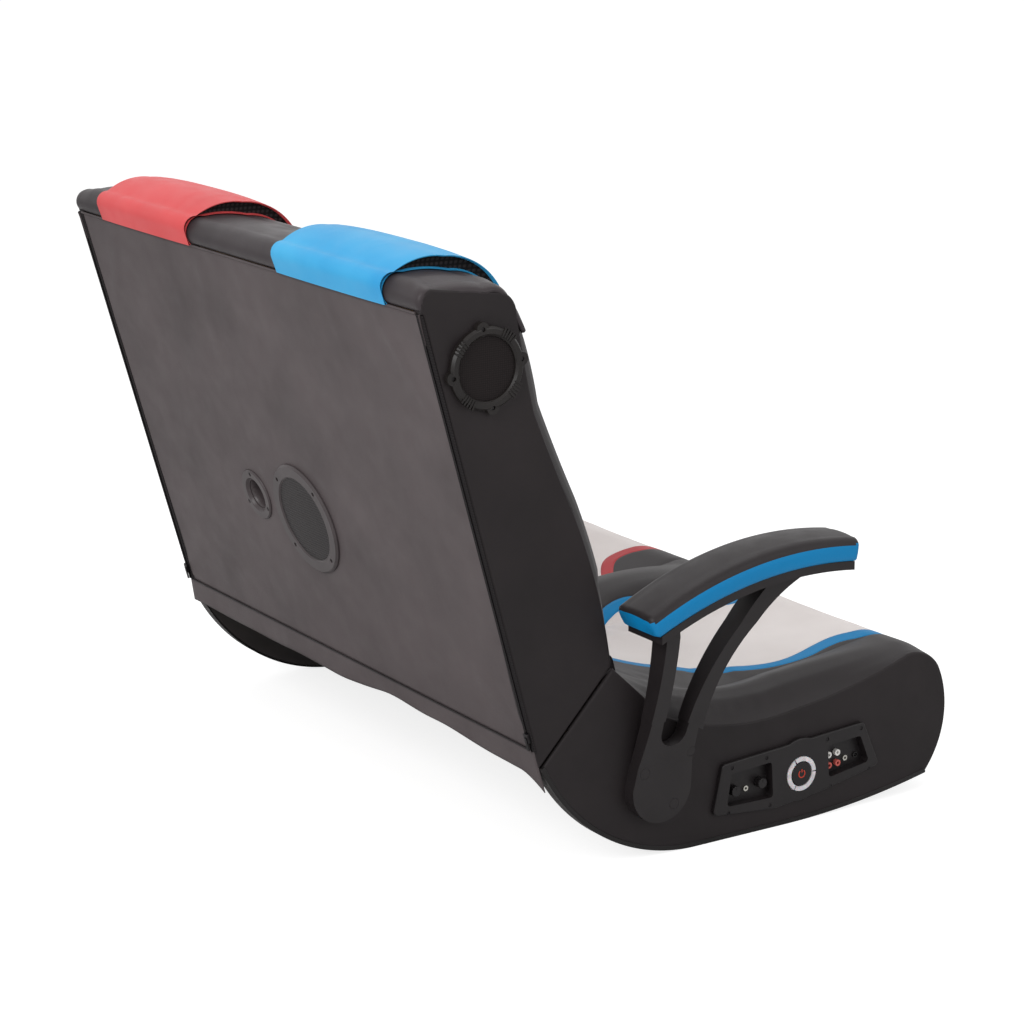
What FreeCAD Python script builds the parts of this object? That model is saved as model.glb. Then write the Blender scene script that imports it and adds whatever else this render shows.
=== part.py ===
import FreeCAD, Part
import math
import os

# A two-seat floor rocker: a seat box on curved side boards, a backrest that folds forward over
# it, two arms, a control panel in the sitters' right-hand side, two side speakers, and a bass
# speaker with its port in the rear. Millimetres. X runs from the sitters' right to their left,
# the chair looks along -Y, and Z = 0 is the floor. Y = 0 of the sizes is under the rear end of
# the rocker's flat, and every piece is moved by -DEPTH_MIDDLE when it is written.

V = FreeCAD.Vector
X_AXIS = V(1, 0, 0)
DEPTH_MIDDLE = 37.6

# Widths
BODY_WIDTH = 1000.0
BOARD_T = 18.0
COVER_T = 3.0
SKIN_T = 2.0
SOFT_GAP = 0.3
HALF = BODY_WIDTH / 2
BOARD_OUT = HALF - COVER_T
BOARD_IN = BOARD_OUT - BOARD_T
SOFT_END = BOARD_IN - SOFT_GAP

# Rocker profile
FLAT_REAR_Y = 38.0
FLAT_FRONT_Y = -110.0
FRONT_ROCK_R = 1275.0
FOOT_Y = 298.0
FOOT_Z = 161.5
REAR_ROCK_R = ((FOOT_Y - FLAT_REAR_Y) ** 2 + FOOT_Z ** 2) / (2 * FOOT_Z)
LIP_Y = -371.0
NOSE_Y = -406.0
NOSE_Z = 116.0
NOSE_TOP_Y = -391.0
NOSE_TOP_Z = 186.0
CREST_Y = -332.0
CREST_Z = 213.0
RISE_Y = -130.0
RISE_Z = 169.0
SAG_Z = 166.0
BINDING_TOP_Z = 148.0

# Backrest, in its own (up the rear face, forward of the rear face) sizes
RECLINE = 15.7
BACK_LENGTH = 658.0
CREASE_S = 86.0
CREASE_T = 142.0
LUMBAR_S = 194.0
LUMBAR_T = 150.0
WAIST_S = 314.0
WAIST_T = 142.4
CHEST_S = WAIST_S + 78.0
CHEST_T = 130.8
NECK_S = BACK_LENGTH - 190.0
NECK_T = 121.4
NAPE_S = BACK_LENGTH - 128.0
NAPE_T = 124.6
HEAD_S = BACK_LENGTH - 58.0
HEAD_T = 131.0
TOP_FRONT_S = BACK_LENGTH - 18.0
TOP_FRONT_T = 109.0
TOP_REAR_S = BACK_LENGTH + 19.5
TOP_REAR_T = 21.0
SPLIT_GAP = 4.0
CUSHION_TOP_S = BACK_LENGTH - 83.0
CUSHION_TOP_T = 129.0

# Seat and back cushions: how far each line of the quilting stands off the side profile
SEAM_X = HALF - 95.0
RIDGE_X = 75.0
BOLSTER_X = HALF - 48.0
SEAT_BOLSTER = 36.0
SEAT_SEAM = 15.0
SEAT_BUCKET = 22.0
SEAT_HUMP = 42.0
SEAT_FRONT_PROUD = 5.0
BACK_BOLSTER = 28.0
BACK_SEAM = 9.0
BACK_BUCKET = 15.0
BACK_RIDGE = 30.0
BACK_PAD_T = 20.0
SUPPORT_T = 3.0

# Seat frame
DECK_T = 18.0
DECK_TOP_Z = 86.0
DECK_REAR_Y = 78.0
RAIL_T = 18.0
FRONT_RAIL_Y = -352.0
FRONT_RAIL_T = 36.0
UNDER_Z = 42.0
MID_RAIL_Y = -150.0
REAR_RAIL_Y = 168.5
REAR_RAIL_TOP_Z = 240.0
REAR_RAIL_LOW_Z = 152.0
DUST_T = 1.5
DUST_BEND_Y = -10.0
NOSE_LOW_Y = -380.0
NOSE_LOW_Z = 45.0

# Hinges
PIVOT_R = 4.0
PIVOT_CLEAR = 0.1
PLATE_T = 3.0
EYE_R = 14.0
EYE_CLEAR = 3.0
ARM_CLEAR_IN_SOFT = 0.5
PLATE_ARM = 112.0
PLATE_ARM_W = 30.0
PLATE_SIDE_GAP = 0.1
HEAD_R = 7.0
HEAD_H = 2.5
SEAT_ARM_ANGLE = 255.0
BACK_ARM_ANGLE = 42.0

# Arms
ARM_CLEAR = 1.5
PAD_W = 85.0
PAD_REAR_Y = 183.0
PAD_REAR_Z = 334.0
PAD_MID_Y = 20.0
PAD_MID_Z = 391.0
PAD_FRONT_Y = -163.0
PAD_FRONT_Z = 396.0
PAD_T = 30.0
PAD_CROWN = 7.0
TRAY_T = 12.0
TRAY_INSET = 4.0
TRAY_LIP = 3.0
PLATE_THICK = 20.0
STRUT_THICK = 33.0
FLARE_LOW_Z = 140.0
FLARE_TOP_Z = 330.0
FLARE_OUT = 29.0
BASE_Y = 114.0
BASE_Z = 104.0
BASE_R = 48.0
SLOT_Y = 103.0
SLOT_Z = 186.0
SLOT_R = 21.0
BOLT_R = 3.0
BOLT_HEAD_R = 7.0
CAP_R = 7.5
CAP_H = 2.0
NUT_R = 9.0
NUT_H = 6.0
BOLT_PLACES = ((143.0, 131.0), (94.0, 79.0), (68.0, 150.0))
ARM_BORE_CLEAR = 0.3

# Control panel, in its own (forward, up) sizes round the middle of the light ring
PANEL_Y = -136.0
PANEL_Z = 73.0
PANEL_TILT = 3.8
PANEL_PROUD = 7.0
PANEL_REAR_U = -135.0
PANEL_FRONT_U = 128.0
PANEL_LOW_V = -20.0
PANEL_TOP_V = 30.0
TUB_DEEP = 36.0
TUB_TOP_Z = 116.0
PANEL_DEPTH = 14.0
PANEL_FLOOR_T = 3.0
PANEL_RIM = 9.0
PANEL_DISC_R = 46.0
PANEL_DISC_UP = 6.0
RING_R = 25.5
RING_W = 7.0
RING_PROUD = 1.0
RING_SEAT = 4.0
RING_GAP = 2.2
BUTTON_R = 17.0
BUTTON_CLEAR = 0.4
BUTTON_TRAVEL = 1.5
KNOB_R = 7.5
KNOB_H = 11.0
KNOB_FLUTES = 12
SHAFT_R = 3.0
KNOB_V = 2.0
VOLUME_U = -112.0
BASS_U = -66.0
PHONES_U = -89.0
PHONES_V = -2.0
RCA_U = (56.8, 72.3)
RCA_WHITE_V = 10.3
RCA_RED_V = -5.5
RCA_R = 4.6
RCA_BORE_R = 2.1
RCA_H = 6.0
AUX_U = 88.0
AUX_V = -2.8
JACK_R = 4.0
JACK_BORE_R = 1.8
JACK_H = 2.5
POWER_U = 107.0
POWER_V = -3.0
POWER_R = 4.2
POWER_BORE_R = 2.8
POWER_PIN_R = 1.0
SOCKET_TAIL = 16.0
PCB_T = 1.6
PCB_X = BOARD_IN - 9.0
PANEL_SCREWS = ((-120, 40), (-60, 39), (-129, -25), (-57, -32), (48, 39), (109, 40), (51, -33), (122, -25))
SCREW_R = 2.6
SCREW_H = 1.2

# Speakers
SPEAKER_S = BACK_LENGTH - 105.0
SPEAKER_T = 66.0
SPEAKER_CLOTH_R = 42.0
SPEAKER_BEZEL_R = 54.0
SPEAKER_LUG_R = 9.0
SPEAKER_LUG_OUT = 51.5
SPEAKER_BEZEL_H = 10.0
SPEAKER_LUG_TURN = 15.0
SPEAKER_RIBS = 5
SPEAKER_HOLE_R = 40.0
DRIVER_R = 38.0
DRIVER_DEEP = 38.0
MAGNET_R = 22.0
WOOFER_S = 251.0
WOOFER_X = 0.0
WOOFER_BEZEL_R = 84.0
WOOFER_GRILLE_R = 64.0
WOOFER_BEZEL_H = 6.0
WOOFER_HOLE_R = 60.0
WOOFER_DEEP = 62.0
WOOFER_MAGNET_R = 38.0
GRILLE_T = 1.5
GRILLE_SET_BACK = 2.0
PORT_X = 146.0
PORT_S = 256.0
PORT_FLANGE_R = 39.0
PORT_BORE_R = 20.0
PORT_WALL = 3.0
PORT_LONG = 72.0
PORT_FLANGE_H = 4.0
PORT_MOUTH_R = 27.0
BOX_X = (-112.0, 204.0)
BOX_S = (140.0, 362.0)
BOX_DEEP = 90.0
BOX_WALL = 6.0
BASE_RAIL_S = (28.0, 68.0)
BOX_RAIL_W = 28.0
HEAD_RAIL_S = (BACK_LENGTH - 58.0, BACK_LENGTH - 16.0)
HEAD_RAIL_T = (6.0, 24.0)

# Rear cover, flap and zips
COVER_LOW_S = 26.0
COVER_TOP_S = BACK_LENGTH - 8.0
FLAP_LOW_S = -12.0
TAPE_W = 16.0
TAPE_T = 1.6
SLIDER_S = 39.0
SLIDER_L = 16.0
SLIDER_W = 9.0
SLIDER_H = 4.0
SLIDER_CLEAR = 0.3
PULL_L = 24.0
PULL_T = 1.2

# Headrest
ROLL_PROUD = 12.0
HEAD_PAD_X = (RIDGE_X + 55.0, SEAM_X + 9.0)
HEAD_PAD_LOW_S = BACK_LENGTH - 218.0
HEAD_PAD_FRONT = 30.0
HEAD_PAD_TOP = 20.0
HEAD_PAD_REAR = 5.0
HEAD_PAD_EDGE = 0.45


def flat(y, z, x=0.0):
    """A point of the side view, at the given X."""
    return V(x, y, z)


def arc_rise(radius, run):
    """Height of a rocker arc at a distance from where it leaves the flat."""
    return radius - math.sqrt(radius * radius - run * run)


LIP_Z = arc_rise(FRONT_ROCK_R, FLAT_FRONT_Y - LIP_Y)
UP = (math.sin(math.radians(RECLINE)), math.cos(math.radians(RECLINE)))
FORWARD = (-UP[1], UP[0])


def back_at(s, t):
    """(y, z) of a point given up the backrest's rear face and forward of it."""
    return (FOOT_Y + s * UP[0] + t * FORWARD[0], FOOT_Z + s * UP[1] + t * FORWARD[1])


CREASE = back_at(CREASE_S, CREASE_T)


def wire(x, start, moves):
    """Closed wire at X = x. A move of one point is a line, of two an arc through the first."""
    edges = []
    here = start
    for move in list(moves) + [(start,)]:
        end = move[-1]
        a = flat(here[0], here[1], x)
        b = flat(end[0], end[1], x)
        if len(move) == 2:
            middle = flat(move[0][0], move[0][1], x)
            edges.append(Part.Arc(a, middle, b).toShape())
        elif a.distanceToPoint(b) > 1e-6:
            edges.append(Part.LineSegment(a, b).toShape())
        here = end
    return Part.Wire(edges)


def slab(x0, x1, start, moves):
    """The outline as a board between two X values."""
    face = Part.Face(wire(x0, start, moves))
    return face.extrude(V(x1 - x0, 0, 0))


def back_block(x0, x1, s0, s1, t0, t1):
    """A square-cut piece lying along the backrest."""
    corners = [back_at(s0, t0), back_at(s0, t1), back_at(s1, t1), back_at(s1, t0)]
    return slab(x0, x1, corners[0], [(c,) for c in corners[1:]])


def rod(x0, x1, y, z, radius):
    """A cylinder along X."""
    return Part.makeCylinder(radius, abs(x1 - x0), V(min(x0, x1), y, z), X_AXIS)


def back_rod(x, s, t0, t1, radius):
    """A cylinder square to the backrest's rear face."""
    y, z = back_at(s, t0)
    return Part.makeCylinder(radius, t1 - t0, V(x, y, z), V(0, FORWARD[0], FORWARD[1]))


def back_turned(x, s, outline):
    """A piece turned about an axis square to the rear face, from (radius, forward) points."""
    points = [V(r, 0, t) for r, t in outline]
    face = Part.Face(Part.makePolygon(points + [points[0]]))
    turned = face.revolve(V(0, 0, 0), V(0, 0, 1), 360)
    y, z = back_at(s, 0)
    turn = FreeCAD.Rotation(V(0, 0, 1), V(0, FORWARD[0], FORWARD[1]))
    return turned.transformGeometry(FreeCAD.Placement(V(x, y, z), turn).toMatrix())


def side_turned(side, y, z, outline):
    """A piece turned about an axis along X, from (radius, X) points on the given side."""
    points = [V(side * x, 0, r) for r, x in outline]
    face = Part.Face(Part.makePolygon(points + [points[0]]))
    turned = face.revolve(V(0, 0, 0), X_AXIS, 360)
    turned.translate(V(0, y, z))
    return turned


def mirrored(shape):
    """The same piece on the other side of the chair."""
    return shape.mirror(V(0, 0, 0), X_AXIS)


def both(shape):
    """The piece and its twin as a group of two solids."""
    return Part.makeCompound([shape, mirrored(shape)])


def loft(sections, smooth=True):
    """A solid through closed wires."""
    return Part.makeLoft(sections, True, not smooth)


# Seat

def seat_outline():
    """Side profile of the seat box: rocker, nose, top seam and the line where it splits."""
    top_rear = (94.0, 198.0)
    foot = (FOOT_Y, FOOT_Z)
    middle_run = (FOOT_Y - FLAT_REAR_Y) * 0.62
    rear_mid = (FLAT_REAR_Y + middle_run, arc_rise(REAR_ROCK_R, middle_run))
    front_run = (FLAT_FRONT_Y - LIP_Y) / 2
    front_mid = (FLAT_FRONT_Y - front_run, arc_rise(FRONT_ROCK_R, front_run))
    moves = [
        ((-20.0, SAG_Z), (RISE_Y, RISE_Z)),
        ((-222.0, 183.0), (CREST_Y, CREST_Z)),
        ((-369.0, 206.5), (NOSE_TOP_Y, NOSE_TOP_Z)),
        ((NOSE_Y, NOSE_Z), (LIP_Y, LIP_Z)),
        (front_mid, (FLAT_FRONT_Y, 0.0)),
        ((FLAT_REAR_Y, 0.0),),
        (rear_mid, foot),
        (CREASE,),
    ]
    return top_rear, moves


def seat_profile():
    """The seat's side face at X = 0."""
    start, moves = seat_outline()
    return Part.Face(wire(0.0, start, moves))


def split_slot(x0, x1):
    """The gap between the seat's sides and the backrest's, from the foot to the crease."""
    foot = (FOOT_Y, FOOT_Z)
    run = (CREASE[0] - foot[0], CREASE[1] - foot[1])
    length = math.hypot(run[0], run[1])
    along = (run[0] / length, run[1] / length)
    across = (-along[1] * SPLIT_GAP / 2, along[0] * SPLIT_GAP / 2)
    low = (foot[0] - along[0] * 20.0, foot[1] - along[1] * 20.0)
    high = (CREASE[0] + along[0] * 6.0, CREASE[1] + along[1] * 6.0)
    corners = [(low[0] - across[0], low[1] - across[1]), (high[0] - across[0], high[1] - across[1]),
               (high[0] + across[0], high[1] + across[1]), (low[0] + across[0], low[1] + across[1])]
    return slab(x0, x1, corners[0], [(c,) for c in corners[1:]])


def hinge_relief():
    """Room round the pivot for the hinge plates, cut from boards and cushions."""
    plates = rod(BOARD_IN - PLATE_T - 1.0, BOARD_IN + PLATE_T + 2 * PLATE_SIDE_GAP, *CREASE,
                 EYE_R + EYE_CLEAR)
    rivet = rod(BOARD_IN - PLATE_T - HEAD_H - 1.0, BOARD_IN + PLATE_T + HEAD_H + 1.0, *CREASE,
                HEAD_R + 1.0)
    return plates.fuse(rivet)


def back_plate_room():
    """Room beside the backrest's board for its hinge plate, cut from the cushions."""
    return plate_arm(BOARD_IN - PLATE_T - 1.0, BOARD_IN, BACK_ARM_ANGLE, ARM_CLEAR_IN_SOFT)


def rocker_board():
    """Plywood side of the seat, which the chair rocks on."""
    inner = seat_profile().makeOffset2D(-SKIN_T)
    board = inner.extrude(V(BOARD_T, 0, 0))
    board.translate(V(BOARD_IN, 0, 0))
    board = board.cut(hinge_relief()).cut(seat_plate_room())
    for y, z in BOLT_PLACES:
        board = board.cut(rod(BOARD_IN - 1, BOARD_OUT + 1, y, z, BOLT_R + ARM_BORE_CLEAR))
    return board


def seat_side_cover():
    """Padded vinyl over the outer face of a rocker board."""
    cover = seat_profile().makeOffset2D(-SKIN_T).extrude(V(COVER_T, 0, 0))
    cover.translate(V(BOARD_OUT, 0, 0))
    for y, z in BOLT_PLACES:
        cover = cover.cut(rod(BOARD_OUT - 1, HALF + 1, y, z, BOLT_R + ARM_BORE_CLEAR))
    return cover


def rocker_edge():
    """Welt round the running edge of the board, from the foot to the nose."""
    face = seat_profile()
    ring = face.cut(face.makeOffset2D(-SKIN_T))
    band = ring.extrude(V(HALF - BOARD_IN, 0, 0))
    band.translate(V(BOARD_IN, 0, 0))
    keep = Part.makeBox(HALF + 1, 2 * BODY_WIDTH, BINDING_TOP_Z + 10, V(0, -BODY_WIDTH, -10))
    return band.common(keep)


def seat_section(x, rise, nose):
    """Cross-section of the seat cushion: rise stands over the side's top seam."""
    deck_front = (FRONT_RAIL_Y - SOFT_GAP, DECK_TOP_Z)
    moves = [
        ((144.0, 241.0 + 0.45 * rise), (94.0, 198.0 + rise)),
        ((-20.0, SAG_Z + rise), (RISE_Y, RISE_Z + rise)),
        ((-222.0, 183.0 + rise * 0.8), (CREST_Y, CREST_Z + nose)),
        ((-370.0 - nose * 0.5, 206.5 + nose * 0.7), (NOSE_TOP_Y - nose * 0.7, NOSE_TOP_Z)),
        ((NOSE_Y - nose, NOSE_Z), (NOSE_LOW_Y, NOSE_LOW_Z)),
        ((deck_front[0], NOSE_LOW_Z),),
        (deck_front,),
        ((DECK_REAR_Y, DECK_TOP_Z),),
        ((REAR_RAIL_Y - SOFT_GAP, REAR_RAIL_LOW_Z),),
        ((REAR_RAIL_Y - SOFT_GAP, CREASE[1] - 24.0),),
    ]
    return wire(x, CREASE, moves)


def seat_soft(stations):
    """Part of the seat cushion through (x, rise, nose) stations."""
    piece = loft([seat_section(x, rise, nose) for x, rise, nose in stations])
    piece = piece.cut(split_slot(-HALF, HALF)).cut(hinge_relief()).cut(mirrored(hinge_relief()))
    return clear_of_nuts(piece)


def seat_bolster():
    """Padded edge of the seat, along the side board."""
    return seat_soft([(SEAM_X, SEAT_SEAM, 4.0), (BOLSTER_X, SEAT_BOLSTER, SEAT_FRONT_PROUD),
                      (SOFT_END, 4.0, 0.0)])


def seat_panel():
    """Pale middle of one seat, drawn in at both seams."""
    middle = (SEAM_X + RIDGE_X) / 2
    quarter = (SEAM_X - RIDGE_X) / 4
    return seat_soft([(RIDGE_X, SEAT_SEAM, 4.0), (middle - quarter, SEAT_BUCKET, SEAT_FRONT_PROUD),
                      (middle + quarter, SEAT_BUCKET, SEAT_FRONT_PROUD), (SEAM_X, SEAT_SEAM, 4.0)])


def seat_hump():
    """Padded ridge between the two seats."""
    shoulder = RIDGE_X * 0.6
    return seat_soft([(-RIDGE_X, SEAT_SEAM, 4.0), (-shoulder, SEAT_HUMP * 0.85, SEAT_FRONT_PROUD),
                      (shoulder, SEAT_HUMP * 0.85, SEAT_FRONT_PROUD), (RIDGE_X, SEAT_SEAM, 4.0)])


def cross_board(y0, y1, z0, z1):
    """A board from one rocker board to the other."""
    return Part.makeBox(2 * BOARD_IN, y1 - y0, z1 - z0, V(-BOARD_IN, y0, z0))


def seat_rails():
    """Front, middle and rear cross rails of the seat."""
    front = cross_board(FRONT_RAIL_Y, FRONT_RAIL_Y + FRONT_RAIL_T, UNDER_Z, DECK_TOP_Z)
    middle = cross_board(MID_RAIL_Y, MID_RAIL_Y + RAIL_T, UNDER_Z, DECK_TOP_Z - DECK_T)
    rear = cross_board(REAR_RAIL_Y, REAR_RAIL_Y + RAIL_T, REAR_RAIL_LOW_Z, REAR_RAIL_TOP_Z)
    return Part.makeCompound([front, middle.cut(tub_room()), rear])


def seat_deck():
    """Plywood that the seat foam lies on."""
    deck = cross_board(FRONT_RAIL_Y + FRONT_RAIL_T, DECK_REAR_Y, DECK_TOP_Z - DECK_T, DECK_TOP_Z)
    return deck.cut(tub_room())


def dust_cover():
    """Cloth closing the underside, flat in front and rising to the rear rail."""
    front = (FRONT_RAIL_Y, UNDER_Z)
    bend = (DUST_BEND_Y, UNDER_Z)
    deck_end = (DECK_REAR_Y, DECK_TOP_Z - DECK_T - 2.0)
    rear = (REAR_RAIL_Y + RAIL_T, REAR_RAIL_LOW_Z)
    upper = [front, bend, deck_end, rear]
    moves = [(p,) for p in upper[1:]] + [((y, z - DUST_T),) for y, z in reversed(upper)]
    return clear_of_nuts(slab(-BOARD_IN, BOARD_IN, front, moves))


def clear_of_nuts(piece):
    """The piece cut back from the nuts on the inner faces of the rocker boards."""
    for y, z in BOLT_PLACES:
        room = rod(BOARD_IN - NUT_H - 1.0, BOARD_IN + 1.0, y, z, NUT_R + 0.5)
        piece = piece.cut(room).cut(mirrored(room))
    return piece


def tub_room():
    """Space inside the right-hand rocker board for the control panel's works."""
    low = panel_at(PANEL_REAR_U - 5.0, PANEL_LOW_V)
    high = panel_at(PANEL_FRONT_U + 5.0, PANEL_TOP_V)
    return Part.makeBox(TUB_DEEP, low[0] - high[0], TUB_TOP_Z - UNDER_Z, V(-BOARD_IN, high[0], UNDER_Z))


# Hinges

def plate_arm(x0, x1, angle, grow=0.0):
    """Hinge plate's eye and tapered arm between two X values; grow makes room round it."""
    turn = math.radians(angle)
    along = (math.cos(turn), math.sin(turn))
    across = (-along[1], along[0])
    tip = (CREASE[0] + along[0] * PLATE_ARM, CREASE[1] + along[1] * PLATE_ARM)
    wide = EYE_R + grow
    narrow = PLATE_ARM_W / 2 + grow
    corners = [
        (CREASE[0] + across[0] * wide, CREASE[1] + across[1] * wide),
        (tip[0] + across[0] * narrow, tip[1] + across[1] * narrow),
        (tip[0] - across[0] * narrow, tip[1] - across[1] * narrow),
        (CREASE[0] - across[0] * wide, CREASE[1] - across[1] * wide),
    ]
    arm = slab(x0, x1, corners[0], [(c,) for c in corners[1:]])
    arm = arm.fuse(rod(x0, x1, tip[0], tip[1], narrow))
    return arm.fuse(rod(x0, x1, CREASE[0], CREASE[1], wide)).removeSplitter()


def seat_plate():
    """Hinge plate let into the rocker board."""
    x0 = BOARD_IN + PLATE_SIDE_GAP
    plate = plate_arm(x0, x0 + PLATE_T, SEAT_ARM_ANGLE)
    return plate.cut(rod(x0 - 1, x0 + PLATE_T + 1, *CREASE, PIVOT_R + PIVOT_CLEAR))


def seat_plate_room():
    """Mortise of the seat hinge plate in the rocker board."""
    return plate_arm(BOARD_IN - 1.0, BOARD_IN + PLATE_T + 2 * PLATE_SIDE_GAP, SEAT_ARM_ANGLE,
                     PLATE_SIDE_GAP)


def back_plate():
    """Hinge plate on the inner face of the backrest's board."""
    x0 = BOARD_IN - PLATE_T
    plate = plate_arm(x0, BOARD_IN, BACK_ARM_ANGLE)
    return plate.cut(rod(x0 - 1, BOARD_IN + 1, *CREASE, PIVOT_R))


def hinge_pivot():
    """Shouldered rivet of the hinge."""
    seat_outer = BOARD_IN + PLATE_SIDE_GAP + PLATE_T
    back_inner = BOARD_IN - PLATE_T
    pivot = rod(back_inner, seat_outer, CREASE[0], CREASE[1], PIVOT_R)
    inner_head = rod(back_inner - HEAD_H, back_inner, CREASE[0], CREASE[1], HEAD_R)
    outer_head = rod(seat_outer + PLATE_SIDE_GAP, seat_outer + PLATE_SIDE_GAP + HEAD_H, CREASE[0],
                     CREASE[1], HEAD_R)
    neck = rod(seat_outer, seat_outer + PLATE_SIDE_GAP, CREASE[0], CREASE[1], PIVOT_R)
    return pivot.fuse(inner_head).fuse(outer_head).fuse(neck).removeSplitter()


# Backrest

def back_outline():
    """Side profile of the backrest."""
    moves = [
        (back_at(LUMBAR_S, LUMBAR_T), back_at(WAIST_S, WAIST_T)),
        (back_at(CHEST_S, CHEST_T), back_at(NECK_S, NECK_T)),
        (back_at(NAPE_S, NAPE_T), back_at(HEAD_S, HEAD_T)),
        (back_at(TOP_FRONT_S - 10.0, TOP_FRONT_T + 15.5), back_at(TOP_FRONT_S, TOP_FRONT_T)),
        (back_at(TOP_REAR_S, TOP_REAR_T),),
        (back_at(TOP_REAR_S - 3.0, TOP_REAR_T / 3), back_at(BACK_LENGTH, 0.0)),
        (back_at(0.0, 0.0),),
    ]
    return CREASE, moves


def back_profile():
    """The backrest's side face at X = 0."""
    start, moves = back_outline()
    return Part.Face(wire(0.0, start, moves))


def speaker_hole(radius, x0=BOARD_IN - 60, x1=HALF + 20):
    """Round room along X at the side speaker."""
    y, z = back_at(SPEAKER_S, SPEAKER_T)
    return rod(x0, x1, y, z, radius)


def back_board():
    """Plywood side of the backrest."""
    board = back_profile().makeOffset2D(-SKIN_T).extrude(V(BOARD_T, 0, 0))
    board.translate(V(BOARD_IN, 0, 0))
    board = board.cut(hinge_relief()).cut(speaker_hole(SPEAKER_HOLE_R))
    return board.cut(split_slot(0, HALF))


def back_side_cover():
    """Padded vinyl over the outer face of a backrest board."""
    cover = back_profile().makeOffset2D(-SKIN_T).extrude(V(COVER_T, 0, 0))
    cover.translate(V(BOARD_OUT, 0, 0))
    return cover.cut(speaker_hole(SPEAKER_HOLE_R)).cut(split_slot(0, HALF + 1))


def back_section(x, proud, thick):
    """Cross-section of the back cushion: proud stands forward of the side's front edge."""
    low = 0.35 * proud
    front = [back_at(CREASE_S + 4.0, CREASE_T), back_at(LUMBAR_S - 50.0, LUMBAR_T - 1.5 + low),
             back_at(LUMBAR_S + 20.0, LUMBAR_T - 0.5 + proud), back_at((LUMBAR_S + WAIST_S) / 2 + 14.0, WAIST_T + 4.6 + proud),
             back_at(WAIST_S + 10.0, WAIST_T - 1.0 + proud), back_at(CHEST_S, CHEST_T + proud),
             back_at(NECK_S, NECK_T + proud), back_at(NAPE_S, NAPE_T + proud),
             back_at(CUSHION_TOP_S, CUSHION_TOP_T + proud * 0.7)]
    rear = [back_at(CUSHION_TOP_S, CUSHION_TOP_T - thick), back_at(NAPE_S, NAPE_T - thick),
            back_at(NECK_S, NECK_T - thick), back_at(CHEST_S, CHEST_T - thick),
            back_at(WAIST_S + 10.0, WAIST_T - 1.0 - thick), back_at(LUMBAR_S + 20.0, LUMBAR_T - 0.5 - thick),
            back_at(CREASE_S + 24.0, CREASE_T - thick + 4.0)]
    moves = [(front[1], front[2]), (front[3], front[4]), (front[5], front[6]), (front[7], front[8]),
             (rear[0],), (rear[1], rear[2]), (rear[3], rear[4]), (rear[5], rear[6])]
    return wire(x, front[0], moves)


def clear_of_sides(piece):
    """The piece cut back from the hinge plates and the side speakers at both ends."""
    for room in (hinge_relief(), back_plate_room(), speaker_hole(DRIVER_R + 3)):
        piece = piece.cut(room).cut(mirrored(room))
    return piece


def back_soft(stations):
    """Part of the back cushion through (x, proud) stations."""
    piece = loft([back_section(x, proud, BACK_PAD_T) for x, proud in stations])
    return clear_of_sides(piece.cut(split_slot(-HALF, HALF)))


def back_bolster():
    """Padded edge of the back, along the side board."""
    return back_soft([(SEAM_X, BACK_SEAM), (BOLSTER_X, BACK_BOLSTER), (SOFT_END, 2.0)])


def back_panel():
    """Pale middle of one back, drawn in at both seams."""
    middle = (SEAM_X + RIDGE_X) / 2
    quarter = (SEAM_X - RIDGE_X) / 4
    return back_soft([(RIDGE_X, BACK_SEAM), (middle - quarter, BACK_BUCKET),
                      (middle + quarter, BACK_BUCKET), (SEAM_X, BACK_SEAM)])


def back_ridge():
    """Padded ridge between the two backs."""
    shoulder = RIDGE_X * 0.6
    return back_soft([(-RIDGE_X, BACK_SEAM), (-shoulder, BACK_RIDGE * 0.85),
                      (shoulder, BACK_RIDGE * 0.85), (RIDGE_X, BACK_SEAM)])


def back_support():
    """Hardboard behind the back cushion, bent to its curve."""
    near = BACK_PAD_T
    far = BACK_PAD_T + SUPPORT_T
    top = CUSHION_TOP_S
    moves = [
        (back_at(NAPE_S, NAPE_T - near), back_at(NECK_S, NECK_T - near)),
        (back_at(CHEST_S, CHEST_T - near), back_at(WAIST_S + 10.0, WAIST_T - 1.0 - near)),
        (back_at(LUMBAR_S + 20.0, LUMBAR_T - 0.5 - near), back_at(CREASE_S + 24.0, CREASE_T - near + 4.0)),
        (back_at(CREASE_S + 24.0, CREASE_T - far + 4.0),),
        (back_at(LUMBAR_S + 20.0, LUMBAR_T - 0.5 - far), back_at(WAIST_S + 10.0, WAIST_T - 1.0 - far)),
        (back_at(CHEST_S, CHEST_T - far), back_at(NECK_S, NECK_T - far)),
        (back_at(NAPE_S, NAPE_T - far), back_at(top, CUSHION_TOP_T - far)),
    ]
    sheet = slab(-BOARD_IN, BOARD_IN, back_at(top, CUSHION_TOP_T - near), moves)
    return clear_of_sides(sheet)


def back_rails():
    """Bottom rail, the two rails round the bass box and the head rail of the backrest."""
    t0 = SKIN_T
    t1 = SKIN_T + RAIL_T
    spans = [BASE_RAIL_S, (BOX_S[0] - BOX_RAIL_W, BOX_S[0]), (BOX_S[1], BOX_S[1] + BOX_RAIL_W)]
    rails = [back_block(-BOARD_IN, BOARD_IN, s0, s1, t0, t1) for s0, s1 in spans]
    rails.append(back_block(-BOARD_IN, BOARD_IN, *HEAD_RAIL_S, *HEAD_RAIL_T))
    return Part.makeCompound(rails)


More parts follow.
